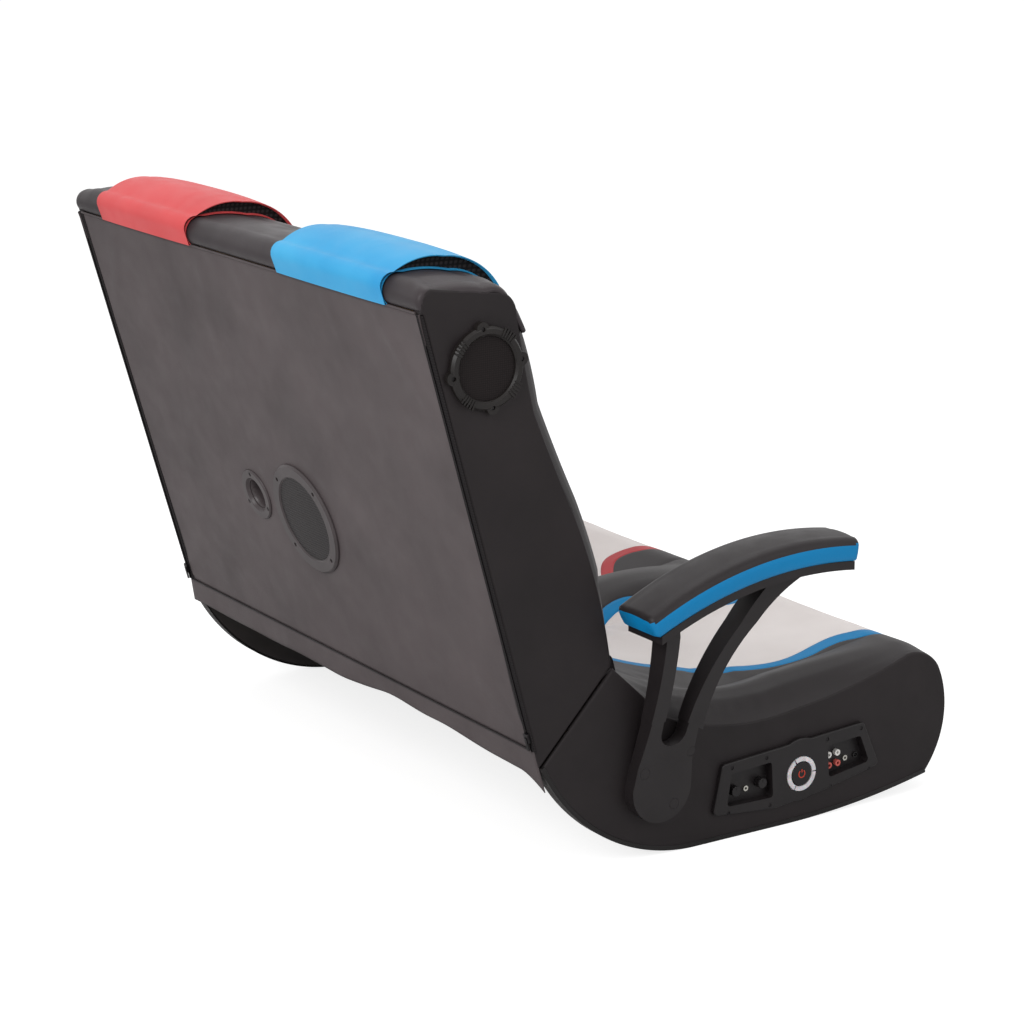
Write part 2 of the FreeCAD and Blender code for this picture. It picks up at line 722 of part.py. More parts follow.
def headrest_roll():
    """Padded roll along the top of the backrest, a thick skin over the head rail."""
    p = ROLL_PROUD
    front = CUSHION_TOP_T + BACK_BUCKET * 0.7
    outer = [
        (back_at(HEAD_S, HEAD_T + p + 1.0), back_at(HEAD_S + 20.0, HEAD_T + p - 6.0)),
        (back_at(TOP_FRONT_S + 6.0, TOP_FRONT_T + p), back_at(TOP_FRONT_S + p + 7.0, TOP_FRONT_T - 14.0)),
        (back_at(TOP_REAR_S - 5.5, 68.0), back_at(TOP_REAR_S + 5.0, TOP_REAR_T + 8.0)),
        (back_at(TOP_REAR_S - 2.0, 4.0), back_at(COVER_TOP_S + 4.0, 0.5)),
    ]
    inner = [
        (back_at(COVER_TOP_S + 4.0, HEAD_RAIL_T[0]),),
        (back_at(HEAD_RAIL_S[1], HEAD_RAIL_T[0]),),
        (back_at(HEAD_RAIL_S[1], HEAD_RAIL_T[1] + 8.0),),
        (back_at(HEAD_RAIL_S[1] + 12.0, TOP_FRONT_T - 20.0),),
        (back_at(TOP_FRONT_S - 10.0, TOP_FRONT_T - 2.0),),
        (back_at(CUSHION_TOP_S + SOFT_GAP, front - BACK_PAD_T),),
    ]
    roll = slab(-SOFT_END, SOFT_END, back_at(CUSHION_TOP_S + SOFT_GAP, front), outer + inner)
    return roll.cut(speaker_hole(DRIVER_R + 3)).cut(mirrored(speaker_hole(DRIVER_R + 3)))


def head_pad_section(x, fill):
    """Cross-section of a headrest pad saddled over the roll; fill is 1 at its fullest."""
    def at(s, t, ds, dt):
        return back_at(s + ds * fill, t + dt * fill)

    inner_front = HEAD_T + ROLL_PROUD + 5.0
    low = (HEAD_PAD_LOW_S, inner_front)
    start = back_at(*low)
    moves = [
        (at(low[0], low[1], -5.0, HEAD_PAD_FRONT * 0.5), at(low[0] + 8.0, low[1], 0.0, HEAD_PAD_FRONT * 0.8)),
        (at(NAPE_S, inner_front, 0.0, HEAD_PAD_FRONT), at(HEAD_S + 15.0, inner_front, 4.0, HEAD_PAD_FRONT * 0.85)),
        (at(TOP_FRONT_S + 8.0, TOP_FRONT_T + 17.0, 15.0, 14.0), at(TOP_REAR_S - 12.5, 93.0, HEAD_PAD_TOP, 0.0)),
        (at(TOP_REAR_S + 4.5, 50.0, 13.0, 0.0), at(TOP_REAR_S + 7.0, 18.0, HEAD_PAD_REAR, -1.0)),
        (at(TOP_REAR_S + 2.5, 4.0, 6.0, -6.0), at(TOP_REAR_S - 9.5, -1.0, 3.0, -HEAD_PAD_REAR)),
        (at(COVER_TOP_S + 2.0, -1.0, 0.0, -HEAD_PAD_REAR * 0.8),),
        (back_at(COVER_TOP_S + 2.0, -0.4),),
        (back_at(TOP_REAR_S + 4.0, 3.0), back_at(TOP_REAR_S + 6.0, TOP_REAR_T + 9.0)),
        (back_at(TOP_REAR_S - 4.5, 69.0), back_at(TOP_FRONT_S + ROLL_PROUD + 8.0, TOP_FRONT_T - 13.0)),
        (back_at(TOP_FRONT_S + 7.0, TOP_FRONT_T + ROLL_PROUD + 1.0), back_at(HEAD_S + 20.0, inner_front - 3.0)),
    ]
    return wire(x, start, moves)


def headrest_pad():
    """Headrest cushion of one seat, thick in front and thin where it is sewn in behind."""
    x0, x1 = HEAD_PAD_X
    inset = (x1 - x0) * 0.14
    stations = [(x0, HEAD_PAD_EDGE), (x0 + inset, 0.86), ((x0 + x1) / 2, 1.0), (x1 - inset, 0.86),
                (x1, HEAD_PAD_EDGE)]
    return loft([head_pad_section(x, fill) for x, fill in stations])


def woofer_cuts(t0, t1):
    """Holes for the bass speaker and its port."""
    hole = back_rod(WOOFER_X, WOOFER_S, t0, t1, WOOFER_HOLE_R)
    return hole.fuse(back_rod(PORT_X, PORT_S, t0, t1, PORT_BORE_R + PORT_WALL))


def back_cover():
    """Zipped vinyl sheet over the rear of the backrest."""
    sheet = back_block(-BOARD_OUT, BOARD_OUT, COVER_LOW_S, COVER_TOP_S, 0.0, SKIN_T)
    return sheet.cut(woofer_cuts(-1.0, SKIN_T + 1.0))


def back_flap():
    """Loose strip that hangs below the rear sheet and closes the gap to the seat."""
    return back_block(-BOARD_OUT, BOARD_OUT, FLAP_LOW_S, COVER_LOW_S, 0.0, SKIN_T)


def zip_tape():
    """Zip beside the rear sheet's edge."""
    return back_block(HALF - TAPE_W, HALF, COVER_LOW_S, COVER_TOP_S, -TAPE_T, 0.0)


def zip_slider():
    """Slider of a zip, with its pull hanging down."""
    x = HALF - TAPE_W / 2
    t1 = -TAPE_T - SLIDER_CLEAR
    t0 = t1 - SLIDER_H
    body = back_block(x - SLIDER_W / 2, x + SLIDER_W / 2, SLIDER_S, SLIDER_S + SLIDER_L, t0, t1)
    long_edges = [e for e in body.Edges if abs(e.Length - SLIDER_H) < 0.01]
    body = body.makeFillet(SLIDER_W * 0.3, long_edges)
    pull = back_block(x - SLIDER_W * 0.25, x + SLIDER_W * 0.25, SLIDER_S - PULL_L * 0.4,
                      SLIDER_S + SLIDER_L * 0.6, t0 - PULL_T, t0)
    return body.fuse(pull).removeSplitter()


# Speakers

def speaker_bezel():
    """Ring of a side speaker with four screw lugs and ribbed grips between them."""
    y, z = back_at(SPEAKER_S, SPEAKER_T)
    outline = [(SPEAKER_CLOTH_R, HALF), (SPEAKER_BEZEL_R, HALF), (SPEAKER_BEZEL_R, HALF + SPEAKER_BEZEL_H - 4),
               (SPEAKER_BEZEL_R - 3, HALF + SPEAKER_BEZEL_H), (SPEAKER_CLOTH_R + 3, HALF + SPEAKER_BEZEL_H),
               (SPEAKER_CLOTH_R, HALF + SPEAKER_BEZEL_H - 3)]
    ring = side_turned(1, y, z, outline)
    well = rod(HALF - 1, HALF + SPEAKER_BEZEL_H + 1, y, z, SPEAKER_CLOTH_R)
    for quarter in range(4):
        turn = math.radians(SPEAKER_LUG_TURN + 90 * quarter)
        lug_y = y + SPEAKER_LUG_OUT * math.cos(turn)
        lug_z = z + SPEAKER_LUG_OUT * math.sin(turn)
        lug = rod(HALF, HALF + SPEAKER_BEZEL_H - 1.5, lug_y, lug_z, SPEAKER_LUG_R).cut(well)
        ring = ring.fuse(lug)
        ring = ring.cut(rod(HALF + SPEAKER_BEZEL_H - 4, HALF + SPEAKER_BEZEL_H + 1, lug_y, lug_z, SCREW_R + 0.4))
        for rib in range(SPEAKER_RIBS):
            spin = SPEAKER_LUG_TURN + 90 * quarter + 45 + 5 * (rib - (SPEAKER_RIBS - 1) / 2)
            bar = Part.makeBox(2.5, SPEAKER_BEZEL_R - SPEAKER_CLOTH_R, 2.2,
                               V(HALF + SPEAKER_BEZEL_H - 1.5, SPEAKER_CLOTH_R + 2.0, -1.1))
            bar.rotate(V(0, 0, 0), X_AXIS, spin)
            bar.translate(V(0, y, z))
            ring = ring.fuse(bar)
    return ring


def speaker_cloth():
    """Cloth disc over a side speaker."""
    y, z = back_at(SPEAKER_S, SPEAKER_T)
    return rod(HALF + 1.0, HALF + 4.0, y, z, SPEAKER_CLOTH_R)


def speaker_driver():
    """Side loudspeaker: flange on the cover, basket and magnet inside the board."""
    y, z = back_at(SPEAKER_S, SPEAKER_T)
    inner = HALF - DRIVER_DEEP
    outline = [(0.0, inner), (MAGNET_R, inner), (MAGNET_R, inner + 12), (DRIVER_R - 3, HALF - 8),
               (DRIVER_R - 0.5, HALF - 8), (DRIVER_R - 0.5, HALF), (DRIVER_R + 2, HALF),
               (DRIVER_R + 2, HALF + 1.0), (DRIVER_R - 8, HALF + 1.0), (10.0, HALF - 14), (0.0, HALF - 12)]
    return side_turned(1, y, z, outline)


def woofer_bezel():
    """Flat trim ring of the bass speaker."""
    h = WOOFER_BEZEL_H
    outline = [(WOOFER_GRILLE_R, 0.0), (WOOFER_BEZEL_R, 0.0), (WOOFER_BEZEL_R, -h + 3), (WOOFER_BEZEL_R - 3, -h),
               (WOOFER_GRILLE_R + 2, -h), (WOOFER_GRILLE_R, -h + 2)]
    ring = back_turned(WOOFER_X, WOOFER_S, outline)
    for x, s in ring_places(WOOFER_X, WOOFER_S, (WOOFER_BEZEL_R + WOOFER_GRILLE_R) / 2, 4, 45.0):
        ring = ring.cut(back_rod(x, s, -h - 1, -h + 3, SCREW_R + 0.6))
    return ring


def ring_places(x, s, radius, count, start):
    """(x, s) places spaced round a ring on the rear face."""
    turns = [math.radians(start + 360.0 / count * k) for k in range(count)]
    return [(x + radius * math.cos(a), s + radius * math.sin(a)) for a in turns]


def woofer_grille():
    """Dished mesh in front of the bass speaker."""
    t = -WOOFER_BEZEL_H + GRILLE_SET_BACK
    r = WOOFER_GRILLE_R
    outline = [(0.0, t - 1.5), (r * 0.6, t - 1.0), (r, t), (r, t + GRILLE_T), (r * 0.6, t - 1.0 + GRILLE_T),
               (0.0, t - 1.5 + GRILLE_T)]
    return back_turned(WOOFER_X, WOOFER_S, outline)


def woofer_driver():
    """Bass loudspeaker: flange on the box, basket and magnet inside it."""
    deep = WOOFER_DEEP
    r = WOOFER_HOLE_R
    outline = [(0.0, 12.0), (12.0, 14.0), (r - 14, SKIN_T - 1.0), (r - 1, SKIN_T - 1.0), (r - 1, 13.0), (r - 8, 16.0),
               (WOOFER_MAGNET_R, deep - 20), (WOOFER_MAGNET_R, deep), (0.0, deep)]
    return back_turned(WOOFER_X, WOOFER_S, outline)


def subwoofer_box():
    """Closed wooden box behind the rear sheet, between two rails."""
    t0 = SKIN_T
    t1 = SKIN_T + BOX_DEEP
    outer = back_block(BOX_X[0], BOX_X[1], BOX_S[0], BOX_S[1], t0, t1)
    inner = back_block(BOX_X[0] + BOX_WALL, BOX_X[1] - BOX_WALL, BOX_S[0] + BOX_WALL, BOX_S[1] - BOX_WALL,
                       t0 + BOX_WALL, t1 - BOX_WALL)
    return outer.cut(inner).cut(woofer_cuts(t0 - 1, t0 + BOX_WALL + 1))


def bass_port():
    """Flared tube of the bass box."""
    r = PORT_BORE_R
    w = PORT_WALL
    h = PORT_FLANGE_H
    outline = [(PORT_MOUTH_R, -h), (PORT_FLANGE_R - 2, -h), (PORT_FLANGE_R, -h + 2), (PORT_FLANGE_R, 0.0),
               (r + w, 0.0), (r + w, PORT_LONG), (r, PORT_LONG), (r, 10.0), (r + 1.5, 4.0)]
    port = back_turned(PORT_X, PORT_S, outline)
    for x, s in ring_places(PORT_X, PORT_S, PORT_FLANGE_R - 6.0, 3, 90.0):
        port = port.cut(back_rod(x, s, -h - 1, -h + 2, SCREW_R + 0.4))
    return port


def speaker_screws():
    """Screws of the side speakers, the bass ring and the port."""
    y, z = back_at(SPEAKER_S, SPEAKER_T)
    screws = []
    for quarter in range(4):
        turn = math.radians(SPEAKER_LUG_TURN + 90 * quarter)
        x0 = HALF + SPEAKER_BEZEL_H - 4
        screw = rod(x0, x0 + SCREW_H, y + SPEAKER_LUG_OUT * math.cos(turn),
                    z + SPEAKER_LUG_OUT * math.sin(turn), SCREW_R)
        screws += [screw, mirrored(screw)]
    for x, s in ring_places(WOOFER_X, WOOFER_S, (WOOFER_BEZEL_R + WOOFER_GRILLE_R) / 2, 4, 45.0):
        screws.append(back_rod(x, s, -WOOFER_BEZEL_H + 3 - SCREW_H, -WOOFER_BEZEL_H + 3, SCREW_R))
    for x, s in ring_places(PORT_X, PORT_S, PORT_FLANGE_R - 6.0, 3, 90.0):
        screws.append(back_rod(x, s, -PORT_FLANGE_H + 2 - SCREW_H, -PORT_FLANGE_H + 2, SCREW_R))
    return Part.makeCompound(screws)


# Arms

def arm_arc(drop):
    """(rear, middle, front) of the pad's curved underside, lowered by drop."""
    return ((PAD_REAR_Y, PAD_REAR_Z - drop), (PAD_MID_Y, PAD_MID_Z - drop),
            (PAD_FRONT_Y, PAD_FRONT_Z - drop))


def arm_tray():
    """Curved tray under the pad."""
    rear, middle, front = arm_arc(0.0)
    low_rear, low_middle, low_front = arm_arc(TRAY_T)
    cut_back = 5.0
    x0 = HALF + ARM_CLEAR + TRAY_INSET
    x1 = HALF + ARM_CLEAR + PAD_W - TRAY_INSET
    return slab(x0, x1, (rear[0] - cut_back, rear[1] + 1.9), [
        (middle, (front[0] + cut_back, front[1] + 0.6)),
        ((low_front[0] + cut_back, low_front[1] + 0.6),),
        (low_middle, (low_rear[0] - cut_back, low_rear[1] + 1.9)),
    ])


def arm_struts():
    """The base plate and the two struts that grow out of it, in side view."""
    x0 = HALF
    x1 = HALF + FLARE_OUT + STRUT_THICK
    seat_top = PAD_MID_Z - TRAY_T
    base = slab(x0, x1, (BASE_Y - BASE_R, BASE_Z), [
        ((BASE_Y, BASE_Z - BASE_R), (BASE_Y + BASE_R, BASE_Z + 6.0)),
        ((148.0, 172.0), (139.0, 240.0)),
        ((60.0, 240.0),),
    ])
    rear = slab(x0, x1, (144.0, 205.0), [((139.0, 262.0), (142.0, PAD_REAR_Z + 20.0)),
                                       ((121.0, PAD_REAR_Z + 24.0),), ((117.0, 262.0), (121.0, 205.0))])
    front = slab(x0, x1, (82.0, 196.0), [((52.0, 281.0), (-24.0, seat_top - 2.0)),
                                       ((-88.0, seat_top + 5.0),), ((6.0, 313.0), (54.0, 180.0))])
    slot = slab(x0 - 1, x1 + 1, (SLOT_Y - SLOT_R, SLOT_Z), [
        ((SLOT_Y, SLOT_Z - SLOT_R), (SLOT_Y + SLOT_R, SLOT_Z)),
        ((SLOT_Y + SLOT_R - 4.0, SLOT_Z + 80.0),),
        ((SLOT_Y - SLOT_R - 20.0, SLOT_Z + 80.0),),
    ])
    return base.cut(slot).fuse(rear).fuse(front)


def flare_band():
    """Front view of the bracket: flat on the seat's side, then leaning out to the tray."""
    top_z = PAD_MID_Z + 40.0
    inner = [(HALF, 0.0), (HALF, FLARE_LOW_Z), (HALF + FLARE_OUT, FLARE_TOP_Z), (HALF + FLARE_OUT, top_z)]
    outer = [(HALF + FLARE_OUT + STRUT_THICK, top_z), (HALF + FLARE_OUT + STRUT_THICK, FLARE_TOP_Z),
             (HALF + PLATE_THICK, FLARE_LOW_Z), (HALF + PLATE_THICK, 0.0)]
    points = [V(x, PAD_FRONT_Y * 2, z) for x, z in inner + outer]
    return Part.Face(Part.makePolygon(points + [points[0]])).extrude(V(0, 2 * (PAD_REAR_Y - PAD_FRONT_Y), 0))


def arm_bracket():
    """Moulded arm: base plate, two struts and tray in one piece."""
    under_tray = slab(HALF, HALF + 200, (PAD_REAR_Y + 40, PAD_REAR_Z - TRAY_T - 14.0), [
        arm_arc(TRAY_T * 0.5)[1:], ((PAD_FRONT_Y, 0.0),), ((PAD_REAR_Y + 40, 0.0),)])
    struts = arm_struts().common(flare_band()).common(under_tray)
    bracket = struts.fuse(arm_tray()).removeSplitter()
    for y, z in BOLT_PLACES:
        bracket = bracket.cut(rod(HALF - 1, HALF + 60, y, z, BOLT_R + ARM_BORE_CLEAR))
        bracket = bracket.cut(rod(HALF + PLATE_THICK - 5.0, HALF + 60, y, z, CAP_R + ARM_BORE_CLEAR))
    return bracket


def arm_pad_section(y, half_w, low, high, crown):
    """Cross-section of an arm pad at Y = y."""
    middle = HALF + ARM_CLEAR + PAD_W / 2
    a = V(middle - half_w, y, low)
    b = V(middle + half_w, y, low)
    c = V(middle + half_w, y, high)
    d = V(middle - half_w, y, high)
    top = Part.Arc(c, V(middle, y, high + crown), d).toShape()
    lines = [Part.LineSegment(p, q).toShape() for p, q in ((a, b), (b, c), (d, a))]
    return Part.Wire([lines[0], lines[1], top, lines[2]])


def arm_underside(y):
    """Height of the pad's curved underside at Y = y, on the circle through its three points."""
    (y0, z0), (y1, z1), (y2, z2) = arm_arc(0.0)
    circle = Part.Circle(V(0, y0, z0), V(0, y1, z1), V(0, y2, z2))
    centre = circle.Center
    return centre.z + math.sqrt(circle.Radius ** 2 - (y - centre.y) ** 2)


def arm_pad():
    """Padded armrest: crowned along its length, a little fuller in the middle."""
    count = 7
    wires = []
    for k in range(count):
        share = k / (count - 1)
        y = PAD_REAR_Y + (PAD_FRONT_Y - PAD_REAR_Y) * share
        swell = math.sin(math.pi * share)
        low = arm_underside(y) + SOFT_GAP
        high = low + PAD_T * (0.78 + 0.16 * swell)
        half_w = PAD_W / 2 - 1.5 + 1.5 * swell
        wires.append(arm_pad_section(y, half_w, low, high, PAD_CROWN * (0.6 + 0.4 * swell)))
    return loft(wires)


def arm_bolts():
    """Bolts that hold the arms to the rocker boards, and the screws up into the pads."""
    bolts = []
    for y, z in BOLT_PLACES:
        head_x = HALF + PLATE_THICK - 5.0
        shank = rod(BOARD_IN - NUT_H, head_x, y, z, BOLT_R)
        bolts.append(shank.fuse(rod(head_x, head_x + 3.0, y, z, BOLT_HEAD_R)).removeSplitter())
    group = []
    for bolt in bolts:
        group += [bolt, mirrored(bolt)]
    return Part.makeCompound(group)


def arm_bolt_caps():
    """Round caps over the arm bolts."""
    group = []
    for y, z in BOLT_PLACES:
        cap = rod(HALF + PLATE_THICK - 2.0, HALF + PLATE_THICK - 2.0 + CAP_H, y, z, CAP_R)
        group += [cap, mirrored(cap)]
    return Part.makeCompound(group)


def arm_tee_nuts():
    """Tee nuts on the inner face of the rocker boards."""
    group = []
    for y, z in BOLT_PLACES:
        barrel = rod(BOARD_IN - NUT_H, BOARD_IN - 2.0, y, z, BOLT_R + 2.5)
        flange = rod(BOARD_IN - 2.0, BOARD_IN, y, z, NUT_R)
        nut = barrel.fuse(flange).removeSplitter()
        nut = nut.cut(rod(BOARD_IN - NUT_H - 1, BOARD_IN + 1, y, z, BOLT_R))
        group += [nut, mirrored(nut)]
    return Part.makeCompound(group)


# Control panel, on the -X side

PANEL_F = (-math.cos(math.radians(PANEL_TILT)), math.sin(math.radians(PANEL_TILT)))
PANEL_W = (math.sin(math.radians(PANEL_TILT)), math.cos(math.radians(PANEL_TILT)))


def panel_at(u, v):
    """(y, z) of a point given forward and up from the middle of the light ring."""
    return (PANEL_Y + u * PANEL_F[0] + v * PANEL_W[0], PANEL_Z + u * PANEL_F[1] + v * PANEL_W[1])


def panel_slab(x0, x1, corners, radius):
    """A polygon of panel points as a plate between two X values, its corners rounded."""
    points = [panel_at(u, v) for u, v in corners]
    plate = slab(x0, x1, points[0], [(p,) for p in points[1:]])
    edges = [e for e in plate.Edges if abs(abs(e.tangentAt(e.FirstParameter).x) - 1) < 1e-6]
    return plate.makeFillet(radius, edges)


def panel_wings(x0, x1, inset):
    """The panel's outline: two flaring wings and the disc between them."""
    wings = panel_slab(x0, x1, [(-155 + inset, -23 + inset), (-135 + inset, 48 - inset), (115 - inset, 48 - inset),
                                (141 - inset, -23 + inset), (40, -36 + inset), (-45, -40 + inset)], 7.0)
    y, z = panel_at(0.0, PANEL_DISC_UP)
    return wings.fuse(rod(x0, x1, y, z, PANEL_DISC_R - inset)).removeSplitter()


REAR_RECESS = [(-131, -15), (-121, 31), (-51, 31), (-51, -22)]
FRONT_RECESS = [(49, 29), (108, 29), (122, -13), (49, -19)]


def panel_housing():
    """Moulded housing of the controls: bezel, two recessed fields and the posts behind."""
    face_x = -HALF - PANEL_PROUD
    floor_x = -HALF - PANEL_PROUD + PANEL_DEPTH
    body = panel_wings(face_x, -HALF, 0.0)
    rim = [e for e in body.Edges if abs(e.BoundBox.XMin - face_x) < 1e-3 and abs(e.BoundBox.XMax - face_x) < 1e-3]
    body = body.makeFillet(2.0, rim)
    body = body.fuse(panel_wings(-HALF, floor_x + PANEL_FLOOR_T, PANEL_RIM))
    for recess in (REAR_RECESS, FRONT_RECESS):
        body = body.cut(panel_slab(face_x - 1, floor_x, recess, 5.0))
    y, z = panel_at(0.0, 0.0)
    body = body.cut(rod(face_x - 1, face_x + RING_SEAT, y, z, RING_R + BUTTON_CLEAR))
    body = body.cut(rod(face_x - 1, floor_x - 2.0, y, z, BUTTON_R + BUTTON_CLEAR))
    for u, v in POST_PLACES:
        py, pz = panel_at(u, v)
        body = body.fuse(rod(floor_x + PANEL_FLOOR_T - 0.5, -PCB_X - PCB_T / 2, py, pz, 3.0))
    for u, radius in ((VOLUME_U, SHAFT_R), (BASS_U, SHAFT_R), (PHONES_U, JACK_R)):
        v = PHONES_V if u == PHONES_U else KNOB_V
        hy, hz = panel_at(u, v)
        body = body.cut(rod(floor_x - 1, floor_x + PANEL_FLOOR_T + 1, hy, hz, radius + PIVOT_CLEAR / 2))
    for u, v, radius in socket_places():
        hy, hz = panel_at(u, v)
        body = body.cut(rod(floor_x - 1, floor_x + PANEL_FLOOR_T + 1, hy, hz, radius))
    for u, v in PANEL_SCREWS:
        hy, hz = panel_at(u, v)
        body = body.cut(rod(face_x - 1, face_x + 2.0, hy, hz, SCREW_R + 0.4))
    return body.removeSplitter()


POST_PLACES = ((-30.0, -20.0), (-30.0, 22.0), (30.0, -20.0), (30.0, 22.0))


def socket_places():
    """(u, v, radius) of the sockets in the front field."""
    places = [(u, RCA_WHITE_V, RCA_R) for u in RCA_U] + [(u, RCA_RED_V, RCA_R) for u in RCA_U]
    return places + [(AUX_U, AUX_V, JACK_R), (POWER_U, POWER_V, POWER_R)]


def socket(u, v, radius, bore_r, proud, pin_r=0.0):
    """A round socket through the housing's floor, with a blind bore and its tail behind."""
    floor_x = -HALF - PANEL_PROUD + PANEL_DEPTH
    mouth_x = floor_x - proud
    tail_x = floor_x + PANEL_FLOOR_T + SOCKET_TAIL
    y, z = panel_at(u, v)
    body = rod(mouth_x, tail_x, y, z, radius).cut(rod(mouth_x - 1, tail_x - 4.0, y, z, bore_r))
    if pin_r:
        body = body.fuse(rod(mouth_x + 1.0, tail_x - 2.0, y, z, pin_r))
    return body


def amplifier_board():
    """Circuit board on the housing's posts."""
    corners = [panel_at(u, v) for u, v in ((-128, -14), (-128, 20), (124, 20), (124, -14))]
    board = slab(-PCB_X - PCB_T / 2, -PCB_X + PCB_T / 2, corners[0], [(c,) for c in corners[1:]])
    y, z = panel_at(0.0, 4.0)
    for u, tall in ((-60.0, 12.0), (10.0, 18.0), (70.0, 8.0)):
        cy, cz = panel_at(u, 3.0)
        chip = Part.makeBox(tall, 24.0, 16.0, V(-PCB_X + PCB_T / 2, cy - 12.0, cz - 8.0))
        board = board.fuse(chip)
    return board.removeSplitter()


def light_ring():
    """Lit ring round the power button, in three arcs on one thin base."""
    face_x = -HALF - PANEL_PROUD
    y, z = panel_at(0.0, 0.0)
    inner_r = RING_R - RING_W
    base = rod(face_x + RING_SEAT - 1.0, face_x + RING_SEAT, y, z, RING_R).cut(
        rod(face_x, face_x + RING_SEAT + 1, y, z, inner_r))
    lens = rod(face_x - RING_PROUD, face_x + RING_SEAT - 1.0, y, z, RING_R - 0.5).cut(
        rod(face_x - 2, face_x + RING_SEAT, y, z, inner_r))
    for third in range(3):
        bar = Part.makeBox(RING_SEAT + RING_PROUD + 1, RING_R + 2, RING_GAP,
                           V(face_x - RING_PROUD - 1, 0.0, -RING_GAP / 2))
        bar.rotate(V(0, 0, 0), X_AXIS, 60 + 120 * third)
        bar.translate(V(-1.0, y, z))
        lens = lens.cut(bar)
    return base.fuse(lens).removeSplitter()


def power_button():
    """Round push button inside the light ring."""
    face_x = -HALF - PANEL_PROUD
    y, z = panel_at(0.0, 0.0)
    cap = rod(face_x - RING_PROUD, face_x + PANEL_DEPTH - 4.0 - BUTTON_TRAVEL, y, z, BUTTON_R)
    rim = [e for e in cap.Edges if abs(e.BoundBox.XMax - (face_x - RING_PROUD)) < 1e-3]
    return cap.makeFillet(0.8, rim)


def knob(u):
    """Fluted control knob on its shaft."""
    floor_x = -HALF - PANEL_PROUD + PANEL_DEPTH
    y, z = panel_at(u, KNOB_V)
    top = floor_x - 0.6 - KNOB_H
    cap = rod(top, floor_x - 0.6, y, z, KNOB_R)
    rim = [e for e in cap.Edges if abs(e.BoundBox.XMax - top) < 1e-3]
    cap = cap.makeFillet(1.0, rim)
    for k in range(KNOB_FLUTES):
        turn = 2 * math.pi * k / KNOB_FLUTES
        cap = cap.cut(rod(top - 1, floor_x - 3.0, y + (KNOB_R + 0.5) * math.cos(turn),
                          z + (KNOB_R + 0.5) * math.sin(turn), 1.1))
    pointer = Part.makeBox(2.0, 1.2, KNOB_R - 2.5, V(top - 0.4, y - 0.6, z + 1.5))
    shaft = rod(floor_x - 0.6, floor_x + PANEL_FLOOR_T + 4.0, y, z, SHAFT_R)
    return cap.fuse(pointer).fuse(shaft)


def panel_screws():
    """Screws round the housing's rim."""
    face_x = -HALF - PANEL_PROUD
    screws = []
    for u, v in PANEL_SCREWS:
        y, z = panel_at(u, v)
        screws.append(rod(face_x + 2.0 - SCREW_H, face_x + 2.0, y, z, SCREW_R))
    return Part.makeCompound(screws)


def panel_cut_out():
    """Hole in the right-hand rocker board and cover for the housing's tub."""
    return panel_wings(-HALF - 1, -BOARD_IN + 1, PANEL_RIM - 1.0)


def save(name, shape):
    """Write one piece, moved so that the middle of the chair's depth is at Y = 0."""
    moved = shape.translated(V(0, -DEPTH_MIDDLE, 0))
    moved.exportStep("parts/" + name + ".step")


